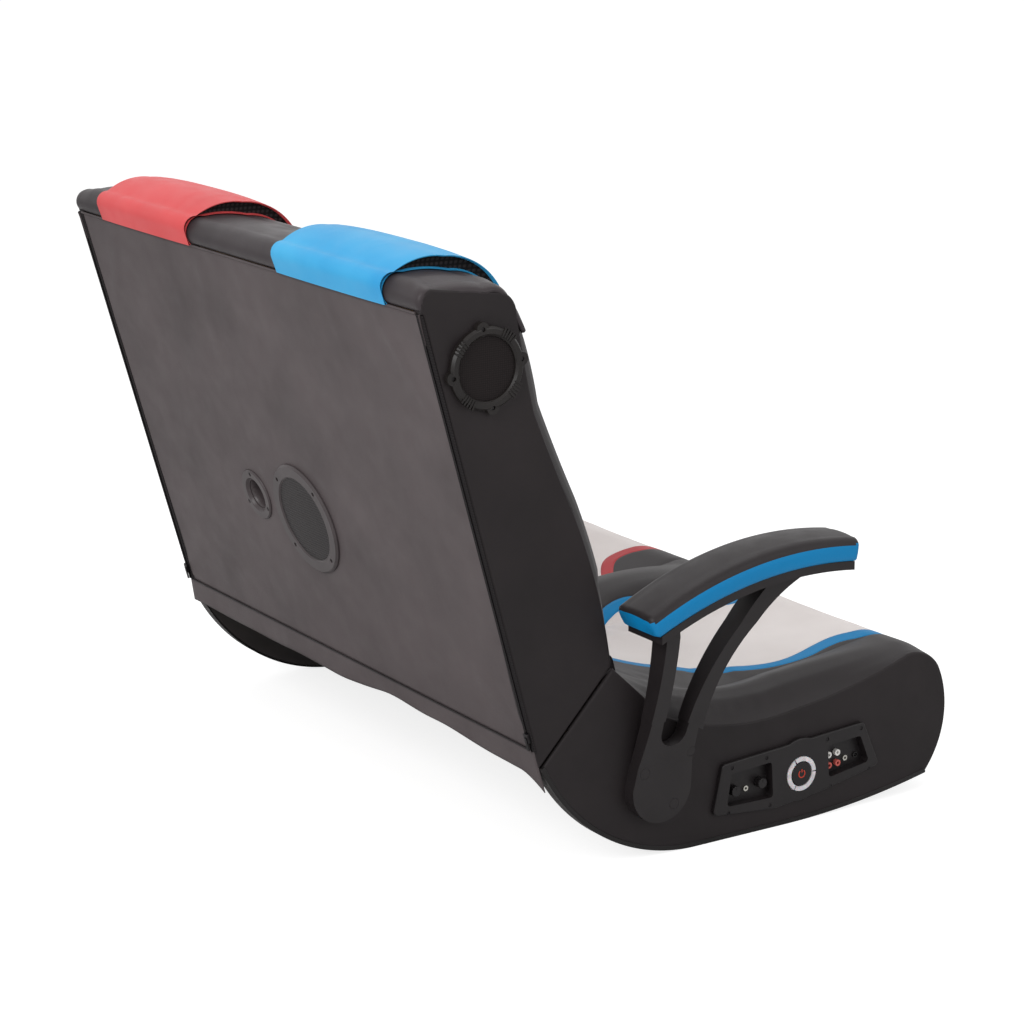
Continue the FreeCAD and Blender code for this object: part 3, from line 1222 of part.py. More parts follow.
def pieces():
    """Every piece of the chair by name. Plain shapes are built on the +X side."""
    board = rocker_board()
    cover = seat_side_cover()
    bracket = arm_bracket()
    pad = arm_pad()
    back_side = back_board()
    back_skin = back_side_cover()
    slider = zip_slider()
    bolster = seat_bolster()
    seat_middle = seat_panel()
    back_middle = back_panel()
    rest = headrest_pad()
    cut_out = panel_cut_out()
    made = {
        "rocker_board_left": board,
        "rocker_board_right": mirrored(board).cut(cut_out),
        "seat_side_cover_left": cover,
        "seat_side_cover_right": mirrored(cover).cut(cut_out),
        "rocker_edges": both(rocker_edge()),
        "seat_rails": seat_rails(),
        "seat_deck": seat_deck(),
        "dust_cover": dust_cover(),
        "seat_bolsters": Part.makeCompound([bolster, mirrored(bolster).cut(tub_room())]),
        "seat_hump": seat_hump(),
        "seat_panel_left": seat_middle,
        "seat_panel_right": mirrored(seat_middle),
        "arm_bracket_left": bracket,
        "arm_bracket_right": mirrored(bracket),
        "arm_pad_left": pad,
        "arm_pad_right": mirrored(pad),
        "arm_bolts": arm_bolts(),
        "arm_bolt_caps": arm_bolt_caps(),
        "arm_tee_nuts": arm_tee_nuts(),
        "panel_housing": panel_housing(),
        "rca_sockets_white": Part.makeCompound([socket(u, RCA_WHITE_V, RCA_R, RCA_BORE_R, RCA_H) for u in RCA_U]),
        "rca_sockets_red": Part.makeCompound([socket(u, RCA_RED_V, RCA_R, RCA_BORE_R, RCA_H) for u in RCA_U]),
        "jack_sockets": Part.makeCompound([socket(AUX_U, AUX_V, JACK_R, JACK_BORE_R, JACK_H),
                                           socket(PHONES_U, PHONES_V, JACK_R, JACK_BORE_R, JACK_H)]),
        "power_socket": socket(POWER_U, POWER_V, POWER_R, POWER_BORE_R, JACK_H, POWER_PIN_R),
        "amplifier_board": amplifier_board(),
        "light_ring": light_ring(),
        "panel_screws": panel_screws(),
        "seat_hinge_plates": both(seat_plate()),
        "volume_knob": knob(VOLUME_U),
        "bass_knob": knob(BASS_U),
        "power_button": power_button(),
        "back_board_left": back_side,
        "back_board_right": mirrored(back_side),
        "back_side_cover_left": back_skin,
        "back_side_cover_right": mirrored(back_skin),
        "back_rails": back_rails(),
        "back_support": back_support(),
        "back_bolsters": both(back_bolster()),
        "back_ridge": back_ridge(),
        "back_panel_left": back_middle,
        "back_panel_right": mirrored(back_middle),
        "headrest_roll": headrest_roll(),
        "headrest_pad_left": rest,
        "headrest_pad_right": mirrored(rest),
        "back_cover": back_cover(),
        "back_flap": back_flap(),
        "zip_tapes": both(zip_tape()),
        "back_hinge_plates": both(back_plate()),
        "hinge_pins": both(hinge_pivot()),
        "speaker_bezels": both(speaker_bezel()),
        "speaker_cloths": both(speaker_cloth()),
        "speaker_drivers": both(speaker_driver()),
        "woofer_bezel": woofer_bezel(),
        "woofer_grille": woofer_grille(),
        "woofer_driver": woofer_driver(),
        "subwoofer_box": subwoofer_box(),
        "bass_port": bass_port(),
        "speaker_screws": speaker_screws(),
        "zip_slider_left": slider,
        "zip_slider_right": mirrored(slider),
    }
    return made


os.makedirs("parts", exist_ok=True)
for piece_name, piece in pieces().items():
    save(piece_name, piece)
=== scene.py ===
"""Two-seat floor rocker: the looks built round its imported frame."""
import math

import bmesh
import bpy
from mathutils import Matrix, Vector


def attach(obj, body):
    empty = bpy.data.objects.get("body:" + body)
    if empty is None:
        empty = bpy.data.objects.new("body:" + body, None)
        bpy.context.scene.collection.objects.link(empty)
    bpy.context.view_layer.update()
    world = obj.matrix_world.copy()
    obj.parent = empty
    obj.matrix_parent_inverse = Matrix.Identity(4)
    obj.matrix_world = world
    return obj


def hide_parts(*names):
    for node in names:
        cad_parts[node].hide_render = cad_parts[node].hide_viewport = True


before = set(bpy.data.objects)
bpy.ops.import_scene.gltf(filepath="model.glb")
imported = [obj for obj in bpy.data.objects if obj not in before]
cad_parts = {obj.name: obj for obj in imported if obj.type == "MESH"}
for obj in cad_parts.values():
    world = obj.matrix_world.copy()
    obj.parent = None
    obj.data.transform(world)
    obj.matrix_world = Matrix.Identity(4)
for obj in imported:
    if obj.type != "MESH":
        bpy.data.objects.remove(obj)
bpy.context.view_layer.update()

bl_info = {
    "name": "Two-seat floor rocker",
    "version": (1, 0, 0),
    "blender": (4, 5, 0),
    "location": "3D View > Sidebar > Rocker",
    "description": "Upholstery, mouldings and finishes of a two-seat floor rocker chair",
    "category": "Object",
}

# Sizes in millimetres: y from the rear of the rocker's flat, s up the backrest's rear face
MM = 0.001
DEPTH_MIDDLE = 37.6
HALF = 500.0
BOARD_IN = 479.0
SEAM_X = 405.0
RIDGE_X = 75.0
FOOT = (298.0, 161.5)
CREASE = (184.57, 282.72)
UP = (math.sin(math.radians(15.7)), math.cos(math.radians(15.7)))
FORWARD = (-UP[1], UP[0])
COVER_LOW_S = 26.0
COVER_TOP_S = 650.0
LUG_TURN = -23.2
EDGE_X = 498.0
SPEAKER = (553.0, 66.0)
# Round openings of the rear sheet: x, s, radius, and the radius within which it lies flat
OPENINGS = ((0.0, 251.0, 72.0, 84.0), (146.0, 256.0, 33.0, 39.0))
REAR_HALF = 491.5
FLAP_HALF = 496.0
ARM_LINE = ((170.0, 340.7), (20.0, 391.0), (-163.0, 396.0))
ARM_LENGTH = 361.0
ARM_MIDDLE = 544.0
ARM_BAND = 24.0
TRAY_REAR = 163.0
TRAY_LOW = 300.0
SIDES_FROM_X = 450.0
PANEL_AT = (-136.0, 73.0)
PANEL_TILT = math.radians(3.8)
AIM = Vector((0, 0, 0.4))
# Leather: grain, its depth and the distance between folds
GRAIN = 1.6
GRAIN_DEPTH = 0.08
FOLD = 90.0
SATIN = 0.22


# Places

def back_at(s, t):
    """(y, z) up the backrest's rear face and forward of it, millimetres."""
    return (FOOT[0] + s * UP[0] + t * FORWARD[0], FOOT[1] + s * UP[1] + t * FORWARD[1])


def place(x, point):
    """Millimetres, with y from the rear of the rocker's flat, to the frame's metres."""
    return Vector((x, point[0] - DEPTH_MIDDLE, point[1])) * MM


def arc(a, b, c, step=6.0):
    """Points after a, up to c, on the circle through three points."""
    ax, ay, bx, by, cx, cy = *a, *b, *c
    d = 2 * (ax * (by - cy) + bx * (cy - ay) + cx * (ay - by))
    if abs(d) < 1e-6:
        return [c]
    a2, b2, c2 = ax * ax + ay * ay, bx * bx + by * by, cx * cx + cy * cy
    ux = (a2 * (by - cy) + b2 * (cy - ay) + c2 * (ay - by)) / d
    uy = (a2 * (cx - bx) + b2 * (ax - cx) + c2 * (bx - ax)) / d
    r = math.hypot(ax - ux, ay - uy)
    start = math.atan2(ay - uy, ax - ux)
    turn = (math.atan2(cy - uy, cx - ux) - start) % math.tau
    middle = (math.atan2(by - uy, bx - ux) - start) % math.tau
    if middle > turn:
        turn -= math.tau
    count = max(2, round(abs(turn) * r / step))
    return [(ux + r * math.cos(start + turn * k / count), uy + r * math.sin(start + turn * k / count))
            for k in range(1, count + 1)]


def trace(start, moves, step=6.0):
    """Points of an outline: a move of one point is a line, of two an arc through the first."""
    points = [start]
    for move in moves:
        if len(move) == 2:
            points += arc(points[-1], move[0], move[1], step)
        else:
            points.append(move[0])
    return points


def along(points, share):
    """The point at a share of a line's length."""
    lengths = [math.dist(a, b) for a, b in zip(points, points[1:])]
    left = share * sum(lengths)
    for a, b, length in zip(points, points[1:], lengths):
        if left <= length:
            k = left / length
            return (a[0] + (b[0] - a[0]) * k, a[1] + (b[1] - a[1]) * k)
        left -= length
    return points[-1]


def across(a, b):
    """Unit vector to the right of the way from a to b."""
    size = math.dist(a, b)
    return (b[1] - a[1]) / size, (a[0] - b[0]) / size


def shifted(point, way, distance):
    return point[0] + way[0] * distance, point[1] + way[1] * distance


def facing(line, share):
    """Unit vector to the right of a line at a share of its length."""
    return across(along(line, max(0.0, share - 0.01)), along(line, min(1.0, share + 0.01)))


def roundover(near, reach):
    """1 at an edge, falling on a quarter circle to 0 at reach."""
    return 1 - math.sqrt(max(0.0, 1 - (1 - min(near / reach, 1.0)) ** 2))


def lookup(table, x):
    """Value at x on a smooth curve through (x, value) pairs."""
    if x <= table[0][0]:
        return table[0][1]
    for (x0, v0), (x1, v1) in zip(table, table[1:]):
        if x <= x1:
            k = (x - x0) / (x1 - x0)
            k = k * k * (3 - 2 * k)
            return v0 + (v1 - v0) * k
    return table[-1][1]


# Meshes

def finish(bm, name, body, materials, smooth=40.0, side=1):
    """Turns a bmesh in metres into a piece that rides on a body."""
    if side < 0:
        bmesh.ops.scale(bm, vec=(-1, 1, 1), verts=bm.verts)
        bmesh.ops.reverse_faces(bm, faces=bm.faces)
    mesh = bpy.data.meshes.new(name)
    bm.to_mesh(mesh)
    bm.free()
    for material in materials:
        mesh.materials.append(material)
    mesh.polygons.foreach_set("use_smooth", [True] * len(mesh.polygons))
    mesh.set_sharp_from_angle(angle=math.radians(smooth))
    piece = bpy.data.objects.new(name, mesh)
    bpy.context.scene.collection.objects.link(piece)
    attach(piece, body)
    return piece


def modifier(piece, kind, **settings):
    made = piece.modifiers.new(kind.title(), kind)
    for key, value in settings.items():
        setattr(made, key, value)
    return made


def mapped_grid(nx, nv, shape, closed=False, shade=None):
    """A grid whose (u, v) in 0 to 1 are put where shape(u, v) says; closed joins the edges that meet,
    and shade(u, v) gives a face's material number."""
    bm = bmesh.new()
    bmesh.ops.create_grid(bm, x_segments=nx, y_segments=nv, size=0.5)
    for face in bm.faces if shade else ():
        middle = face.calc_center_median()
        face.material_index = shade(middle.x + 0.5, middle.y + 0.5)
    for vert in bm.verts:
        vert.co = shape(vert.co.x + 0.5, vert.co.y + 0.5)
    if closed:
        bmesh.ops.remove_doubles(bm, verts=bm.verts, dist=1e-6)
    return bm


def outward(bm):
    bmesh.ops.recalc_face_normals(bm, faces=bm.faces)
    return bm


def closed_up(bm):
    """Fills a tube's open ends and turns its faces out."""
    bmesh.ops.holes_fill(bm, edges=[e for e in bm.edges if e.is_boundary], sides=0)
    return outward(bm)


def facing_way(bm, way):
    """Turns an open surface's faces so that they look along a direction."""
    total = sum((f.normal * f.calc_area() for f in outward(bm).faces), Vector())
    if total.dot(Vector(way)) < 0:
        bmesh.ops.reverse_faces(bm, faces=bm.faces)


def cad_copy(node):
    """A merged bmesh copy of a CAD node, its flat faces whole again."""
    bm = bmesh.new()
    bm.from_mesh(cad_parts[node].data)
    bmesh.ops.remove_doubles(bm, verts=bm.verts, dist=1e-6)
    bmesh.ops.dissolve_limit(bm, angle_limit=math.radians(1.0), verts=bm.verts, edges=bm.edges)
    return bm


def softened(node, name, body, material, width, turn=0.0, shorten=False):
    """A moulded CAD node with its sharp edges rounded; its parts on the sides may be turned about the
    side speaker's axis, and the rear end of its tray cut off."""
    bm = cad_copy(node)
    if turn:
        sides = [v for v in bm.verts if abs(v.co.x) > SIDES_FROM_X * MM]
        bmesh.ops.rotate(bm, cent=place(0.0, back_at(*SPEAKER)),
                         matrix=Matrix.Rotation(math.radians(turn), 3, "X"), verts=sides)
    if shorten:
        tray = [part for kind in (bm.faces, bm.edges, bm.verts) for part in kind
                if min(v.co.z for v in (getattr(part, "verts", None) or [part])) > TRAY_LOW * MM]
        cut = bmesh.ops.bisect_plane(bm, geom=tray, plane_co=place(0.0, (TRAY_REAR, 0.0)),
                                     plane_no=(0, 1, 0), clear_outer=True)
        open_edges = [e for e in cut["geom_cut"] if isinstance(e, bmesh.types.BMEdge)]
        bmesh.ops.holes_fill(bm, edges=open_edges, sides=0)
    piece = finish(bm, name, body, [material], smooth=30.0)
    modifier(piece, "BEVEL", width=width * MM, segments=2, limit_method="ANGLE",
             angle_limit=math.radians(35), harden_normals=False, use_clamp_overlap=True)
    modifier(piece, "WEIGHTED_NORMAL", keep_sharp=False)
    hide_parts(node)
    return piece


# Materials

def linear(hex_colour):
    """sRGB hex to a linear colour with alpha."""
    parts = [int(hex_colour[k:k + 2], 16) / 255 for k in (1, 3, 5)]
    return tuple(c / 12.92 if c <= 0.04045 else ((c + 0.055) / 1.055) ** 2.4 for c in parts) + (1.0,)


def add(tree, kind, inputs=None, links=None, **settings):
    """Adds a shader node with its settings, socket values and links from (node, output) pairs."""
    node = tree.nodes.new("ShaderNode" + kind)
    for key, value in settings.items():
        setattr(node, key, value)
    for key, value in (inputs or {}).items():
        node.inputs[key].default_value = value
    for key, (source, output) in (links or {}).items():
        tree.links.new(source.outputs[output], node.inputs[key])
    return node


def surface(name, **values):
    """A new material with its tree, shader, and object coordinates as a (node, output) pair."""
    material = bpy.data.materials.new(name)
    material.use_nodes = True
    tree = material.node_tree
    tree.nodes.clear()
    shader = add(tree, "BsdfPrincipled", {key.replace("_", " "): value for key, value in values.items()})
    out = add(tree, "OutputMaterial", links={"Surface": (shader, "BSDF")})
    out.is_active_output = True
    return material, tree, shader, (add(tree, "TexCoord"), "Object")


def feed(tree, source, output, shader, socket):
    tree.links.new(source.outputs[output], shader.inputs[socket])


def mottle(tree, where, light, dark, size, spread=0.25):
    """Colour drifting between two shades over patches of the given size in millimetres."""
    noise = add(tree, "TexNoise", {"Scale": 1000 / size, "Detail": 3.0}, {"Vector": where})
    return shades(tree, (noise, "Fac"), dark, light, 0.5 - spread, 0.5 + spread)


def shades(tree, source, dark, light, low=0.0, high=1.0):
    """Ramp from a dark to a light colour between two levels of its source."""
    ramp = add(tree, "ValToRGB", links={"Fac": source})
    for element, position, colour in zip(ramp.color_ramp.elements, (low, high), (dark, light)):
        element.position = position
        element.color = linear(colour)
    return ramp


def bumped(tree, shader, height, strength, depth, under=None):
    """Relief of the given depth in millimetres, over another relief where there is one."""
    links = {"Height": height, **({"Normal": (under, "Normal")} if under else {})}
    bump = add(tree, "Bump", {"Strength": strength, "Distance": depth * MM}, links)
    feed(tree, bump, "Normal", shader, "Normal")
    return bump


def drift(tree, shader, where, scale, detail, low, high):
    """Roughness wandering between two levels."""
    noise = add(tree, "TexNoise", {"Scale": scale, "Detail": detail}, {"Vector": where})
    level = add(tree, "MapRange", {"From Min": 0.3, "From Max": 0.7, "To Min": low, "To Max": high},
                {"Value": (noise, "Fac")})
    feed(tree, level, "Result", shader, "Roughness")


def grained(tree, shader, where, fold_depth=0.6):
    """Leather grain cells over broad soft folds, the folds' depth in millimetres."""
    cells = add(tree, "TexVoronoi", {"Scale": 1000 / GRAIN, "Randomness": 1.0}, {"Vector": where},
                feature="DISTANCE_TO_EDGE")
    creases = add(tree, "MapRange", {"From Max": 0.18}, {"Value": (cells, "Distance")})
    folds = add(tree, "TexNoise", {"Scale": 1000 / FOLD, "Detail": 2.0, "Distortion": 0.4}, {"Vector": where})
    broad = bumped(tree, shader, (folds, "Fac"), 1.0, fold_depth)
    return bumped(tree, shader, (creases, "Result"), 0.6, GRAIN_DEPTH, broad)


def leatherette(name, light, dark, roughness=0.46):
    """Polyurethane-coated cloth, embossed: soft satin sheen, fine grain, slow colour drift."""
    material, tree, shader, where = surface(name, IOR=1.45, Specular_IOR_Level=SATIN)
    feed(tree, mottle(tree, where, light, dark, 120.0), "Color", shader, "Base Color")
    drift(tree, shader, where, 30.0, 4.0, roughness - 0.05, roughness + 0.06)
    grained(tree, shader, where)
    return material


def banded(name, blue, red, pale, dark):
    """Leatherette panels sewn edge to edge: pale middle, coloured band, black outside."""
    material, tree, shader, where = surface(name, Roughness=0.47, Specular_IOR_Level=SATIN)

    def maths(operation, a, b=0.0):
        """A sum of two (node, output) pairs, or of one and a number."""
        both = {k: source for k, source in enumerate((a, b)) if isinstance(source, tuple)}
        return add(tree, "Math", {} if 1 in both else {1: b}, both, operation=operation), "Value"

    def mixed(factor, a, b):
        """One of two colours, each a hex or a (node, output) pair."""
        links = {"Factor": factor, **{key: c for key, c in zip("AB", (a, b)) if isinstance(c, tuple)}}
        values = {key: linear(c) for key, c in zip("AB", (a, b)) if isinstance(c, str)}
        return add(tree, "Mix", values, links, data_type="RGBA"), "Result"

    tone = (add(tree, "Attribute", attribute_name="from_edge"), "Fac")
    wide = (add(tree, "Attribute", attribute_name="band_width"), "Fac")
    split = add(tree, "SeparateXYZ", links={"Vector": where})
    accent = mixed(maths("GREATER_THAN", (split, "X")), blue, red)
    first = mixed(maths("GREATER_THAN", tone), (mottle(tree, where, *pale, 140.0), "Color"), accent)
    second = mixed(maths("GREATER_THAN", tone, wide), first, (mottle(tree, where, *dark, 120.0), "Color"))
    feed(tree, *second, shader, "Base Color")
    fine = grained(tree, shader, where)
    beyond = maths("ABSOLUTE", maths("SUBTRACT", tone, wide))
    seam = maths("MINIMUM", maths("ABSOLUTE", tone), beyond)
    dip = add(tree, "MapRange", {"From Max": 3.0 * MM}, {"Value": seam}, interpolation_type="SMOOTHSTEP")
    bumped(tree, shader, (dip, "Result"), 1.0, 1.2, fine)
    return material


def woven(name, light, dark, thread, roughness=0.85, depth=0.25, axes=("X", "Z")):
    """Plain weave: crossing threads with dark gaps, matt."""
    material, tree, shader, where = surface(name, Roughness=roughness, Specular_IOR_Level=0.2)
    waves = [add(tree, "TexWave", {"Scale": 1000 / thread / 10, "Distortion": 0.3}, {"Vector": where},
                 bands_direction=axis) for axis in axes]
    weave = add(tree, "Math", links={0: (waves[0], "Fac"), 1: (waves[1], "Fac")}, operation="MULTIPLY")
    feed(tree, shades(tree, (weave, "Value"), dark, light, 0.0, 0.6), "Color", shader, "Base Color")
    bumped(tree, shader, (weave, "Value"), 0.8, depth)
    return material


def moulded(name, light, dark, roughness, texture=1.2, depth=0.05):
    """Injection-moulded plastic: even colour, fine spark-eroded texture, slight gloss drift."""
    material, tree, shader, where = surface(name, Specular_IOR_Level=0.28)
    feed(tree, mottle(tree, where, light, dark, 60.0), "Color", shader, "Base Color")
    grit = add(tree, "TexNoise", {"Scale": 1000 / texture, "Detail": 2.0}, {"Vector": where})
    bumped(tree, shader, (grit, "Fac"), 0.7, depth)
    drift(tree, shader, where, 12.0, 2.0, roughness - 0.04, roughness + 0.05)
    return material


def metal(name, light, dark, roughness):
    """Plated or rolled metal with faint fine polish marks."""
    material, tree, shader, where = surface(name, Metallic=1.0, Roughness=roughness)
    feed(tree, mottle(tree, where, light, dark, 15.0), "Color", shader, "Base Color")
    marks = add(tree, "TexNoise", {"Scale": 900.0, "Detail": 2.0}, {"Vector": where})
    bumped(tree, shader, (marks, "Fac"), 0.3, 0.02)
    return material


def plywood(name, light, dark):
    """Rotary-cut plywood: broad flowing grain stretched along the board."""
    material, tree, shader, where = surface(name, Roughness=0.6)
    stretch = add(tree, "Mapping", {"Scale": (60.0, 5.0, 26.0)}, {"Vector": where})
    grain = add(tree, "TexNoise", {"Scale": 2.0, "Detail": 5.0, "Distortion": 1.2},
                {"Vector": (stretch, "Vector")})
    feed(tree, shades(tree, (grain, "Fac"), dark, light), "Color", shader, "Base Color")
    bumped(tree, shader, (grain, "Fac"), 0.5, 0.1)
    return material


def perforated(name, light, dark, pitch):
    """Punched sheet steel, enamelled: rows of round holes, their pitch in millimetres; the holes are not cut
    but painted dark: the dark cone seen through them, deepened with painted shade of the box behind.
    """
    material, tree, shader, where = surface(name, Roughness=0.5, Specular_IOR_Level=0.25)
    split = add(tree, "SeparateXYZ", links={"Vector": where})
    flat = add(tree, "CombineXYZ", links={"X": (split, "X"), "Y": (split, "Z")})
    spots = add(tree, "TexVoronoi", {"Scale": 1000 / pitch, "Randomness": 0.0}, {"Vector": (flat, "Vector")},
                feature="F1", voronoi_dimensions="2D")
    hole = add(tree, "MapRange", {"From Min": 0.30, "From Max": 0.40}, {"Value": (spots, "Distance")})
    # Hole colour: the dark cone behind the grille, darkened further with painted shade
    mix = add(tree, "Mix", {"A": linear(dark), "B": linear(light)}, {"Factor": (hole, "Result")},
              data_type="RGBA")
    feed(tree, mix, "Result", shader, "Base Color")
    bumped(tree, shader, (hole, "Result"), 0.9, 0.6)
    return material


def lens(name, light, dark):
    """Milky acrylic light ring, unlit: pale, glossy, slightly translucent."""
    values = {"Roughness": 0.28, "Subsurface_Weight": 0.2, "Subsurface_Scale": 0.002}
    material, tree, shader, where = surface(name, **values)
    feed(tree, mottle(tree, where, light, dark, 8.0), "Color", shader, "Base Color")
    return material


MATERIALS = {}


def material(key):
    return MATERIALS[key]


def make_materials(colours):
    """Every finish of the chair, by its plain name."""
    made = {
        "vinyl_side": leatherette("side vinyl", colours.side_vinyl, "#1E1A1B", 0.5),
        "vinyl_rear": leatherette("rear vinyl", colours.rear_vinyl, "#4B4445", 0.5),
        "vinyl_black": leatherette("black leatherette", colours.black_leather, "#242021", 0.44),
        "vinyl_roll": leatherette("roll leatherette", "#3D3739", "#332E30", 0.4),
        "vinyl_red": leatherette("red leatherette", colours.red_leather, "#CF4C4E", 0.42),
        "vinyl_blue": leatherette("blue leatherette", colours.blue_leather, "#2F97CF", 0.42),
        "band_blue": leatherette("blue band leatherette", colours.band_blue, "#0A77AE", 0.46),
        "band_red": leatherette("red band leatherette", colours.band_red, "#9F2C30", 0.46),
        "cushions": banded("seat panels", colours.band_blue, colours.band_red,
                           (colours.pale_leather, "#DDD5D2"), (colours.black_leather, "#242021")),
        "mesh": woven("spacer mesh", "#2E2A2B", "#0D0B0C", 2.2, depth=0.6, axes=("Y", "Z")),
        "tape": woven("zip tape", "#262223", "#100E0F", 1.2),
        "nylon": moulded("zip coil nylon", "#1A1718", "#100E0F", 0.35),
        "arm_plastic": moulded("moulded polypropylene", "#221E1F", "#1B1718", 0.46),
        "panel_plastic": moulded("moulded ABS", "#1D191A", "#161314", 0.42, 0.9),
        "knob": moulded("gloss ABS", "#1C191A", "#141213", 0.28, 2.0, 0.01),
        "strip": moulded("rocker strip PVC", "#1E1B1B", "#151313", 0.38),
        "white_plug": moulded("white nylon", "#EDEBE8", "#DAD7D2", 0.35, 2.0, 0.01),
        "red_plug": moulded("red nylon", "#D2685E", "#B44F48", 0.35, 2.0, 0.01),
        "symbol": moulded("red enamel", "#D2452F", "#B83A28", 0.4, 2.0, 0.01),
        "nickel": metal("nickel plate", "#C9C6BE", "#A9A69E", 0.25),
        "zinc": metal("zinc-plated steel", "#B6B8BA", "#8F9193", 0.35),
        "black_steel": metal("black zinc steel", "#3A3839", "#232122", 0.42),
        "ply": plywood("birch plywood", "#D9BC8C", "#B08A5B"),
        "ply_black": plywood("black-stained plywood", "#2F2A29", "#1F1B1A"),
        "cloth": woven("speaker cloth", "#241E1E", "#151111", 0.9, depth=0.15, axes=("Y", "Z")),
        "grille": perforated("punched steel grille", "#302B2C", "#0B0A0A", 4.0),
        "bezel": moulded("moulded speaker ABS", "#1E1A19", "#161312", 0.4),
        "bezel_rear": moulded("satin speaker ABS", "#4A4344", "#3D3738", 0.36),
        "lens": lens("milky acrylic", "#E2DEE0", "#BDB8BC"),
        "board": moulded("green circuit laminate", "#1F5A38", "#17482C", 0.4, 3.0, 0.02),
        "nonwoven": woven("spunbonded underside cloth", "#2B2829", "#191718", 3.0, 0.95, 0.15, ("X", "Y")),
        "cone": moulded("paper cone", "#221F20", "#161415", 0.8, 1.5, 0.2),
    }
    MATERIALS.update(made)


# Outlines in side view

def seat_side_outline():
    """The side of the seat box from the top rear, forward over the top, under and up to the crease."""
    return trace((94.0, 198.0), [
        ((-20.0, 166.0), (-130.0, 169.0)),
        ((-222.0, 183.0), (-332.0, 213.0)),
        ((-369.0, 206.5), (-391.0, 186.0)),
        ((-406.0, 116.0), (-371.0, 27.0)),
        ((-240.5, 6.7), (-110.0, 0.0)),
        ((38.0, 0.0),),
        ((199.2, 47.3), FOOT),
        (CREASE,),
    ])


def back_side_outline():
    """The side of the backrest from the crease up its front, over the top and down the rear."""
    b = back_at
    return trace(CREASE, [
        (b(194, 150), b(314, 142.4)),
        (b(392, 130.8), b(468, 121.4)),
        (b(530, 124.6), b(600, 131)),
        (b(630, 124.5), b(640, 109)),
        (b(677.5, 21),),
        (b(674.5, 7), b(658, 0)),
        (b(0, 0),),
    ])


def clean_outline(points):
    """The outline without repeated points."""
    kept = [points[0]]
    for p in points[1:]:
        if math.dist(p, kept[-1]) > 0.5:
            kept.append(p)
    if math.dist(kept[0], kept[-1]) < 0.5:
        kept.pop()
    return kept


def inset_points(outline, inset):
    """The outline moved inwards by inset, its corners mitred."""
    after = outline[1:] + outline[:1]
    area = sum(a[0] * b[1] - b[0] * a[1] for a, b in zip(outline, after))
    inward = -inset if area > 0 else inset
    moved = []
    for before, p, ahead in zip(outline[-1:] + outline[:-1], outline, after):
        one, two = across(before, p), across(p, ahead)
        way = one[0] + two[0], one[1] + two[1]
        mitre = min(2.5, 2.0 / max(0.2, way[0] ** 2 + way[1] ** 2))
        moved.append(shifted(p, way, mitre * inward))
    return moved


def side_shell(name, body, outline, side, hole=None, nodes=()):
    """Vinyl side: flat panel with a rounded border, and the band that wraps the board's edge."""
    border = [(BOARD_IN + 0.5, 0.0), (HALF - 4.0, 0.0), (HALF - 2.4, 0.4), (HALF - 1.1, 1.2),
              (HALF - 0.3, 2.5), (HALF, 4.0)]
    rings = [inset_points(outline, inset) for _, inset in border]
    count = len(outline)

    def shape(u, v):
        row = round(v * (len(border) - 1))
        return place(border[row][0], rings[row][round(u * count) % count])

    bm = mapped_grid(count, len(border) - 1, shape, closed=True)
    rim = [e for e in bm.edges if e.is_boundary and e.verts[0].co.x > (HALF - 0.1) * MM]
    if hole:
        inner = [bm.verts.new(place(HALF, p)) for p in hole]
        rim += [bm.edges.new((a, b)) for a, b in zip(inner, inner[1:] + inner[:1])]
    bmesh.ops.triangle_fill(bm, edges=rim, use_beauty=True)
    facing_way(bm, (1, 0, 0))
    piece = finish(bm, name, body, [material("vinyl_side")], smooth=50.0, side=side)
    modifier(piece, "SOLIDIFY", thickness=1.2 * MM, offset=-1.0)
    modifier(piece, "WEIGHTED_NORMAL", keep_sharp=True)
    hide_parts(*nodes)
    return piece


# Seat surface

SEAT_RISE = ((0, 42), (30, 41), (58, 29), (75, 21), (100, 20), (150, 22), (330, 22), (385, 21), (405, 22),
             (422, 29), (448, 37), (470, 30), (488, 14), (498, 1))
RIDGE_RISE = ((0, 16), (36, 14), (64, 4), (75, 0))
SEAT_NOSE = ((0, 5), (75, 4), (150, 5), (330, 5), (405, 4), (452, 5), (498, 0))
BACK_PROUD = ((0, 29), (30, 28), (58, 19), (75, 13), (100, 13), (150, 15), (330, 15), (385, 14), (405, 15),
              (422, 21), (448, 29), (470, 23), (488, 11), (498, 1))


def seat_line(x):
    """Side view of the seat's top at x, from the crease to below the nose."""
    rise = lookup(SEAT_RISE, abs(x))
    nose = lookup(SEAT_NOSE, abs(x))
    ridge = lookup(RIDGE_RISE, abs(x))
    return trace(CREASE, [
        ((144.0, 241.0 + 0.45 * rise), (94.0, 198.0 + rise)),
        ((-20.0, 166.0 + rise + 0.5 * ridge), (-130.0, 169.0 + rise + ridge)),
        ((-222.0, 183.0 + rise * 0.8 + ridge), (-332.0, 213.0 + nose)),
        ((-370.0 - nose * 0.5, 206.5 + nose * 0.7), (-391.0 - nose * 0.7, 186.0)),
        ((-406.0 - nose, 116.0), (-380.0, 45.0)),
    ])


def back_line(x):
    """Side view of the back's front at x, from the crease up to the headrest roll."""
    proud = lookup(BACK_PROUD, abs(x))
    b = back_at
    return trace(b(90.0, 142.0), [
        (b(144, 148.5 + 0.35 * proud), b(214, 149.5 + proud)),
        (b(268, 147 + proud), b(324, 141.4 + proud)),
        (b(392, 130.8 + proud), b(468, 121.4 + proud)),
        (b(530, 124.6 + proud), b(578, 129 + proud * 0.7)),
    ])


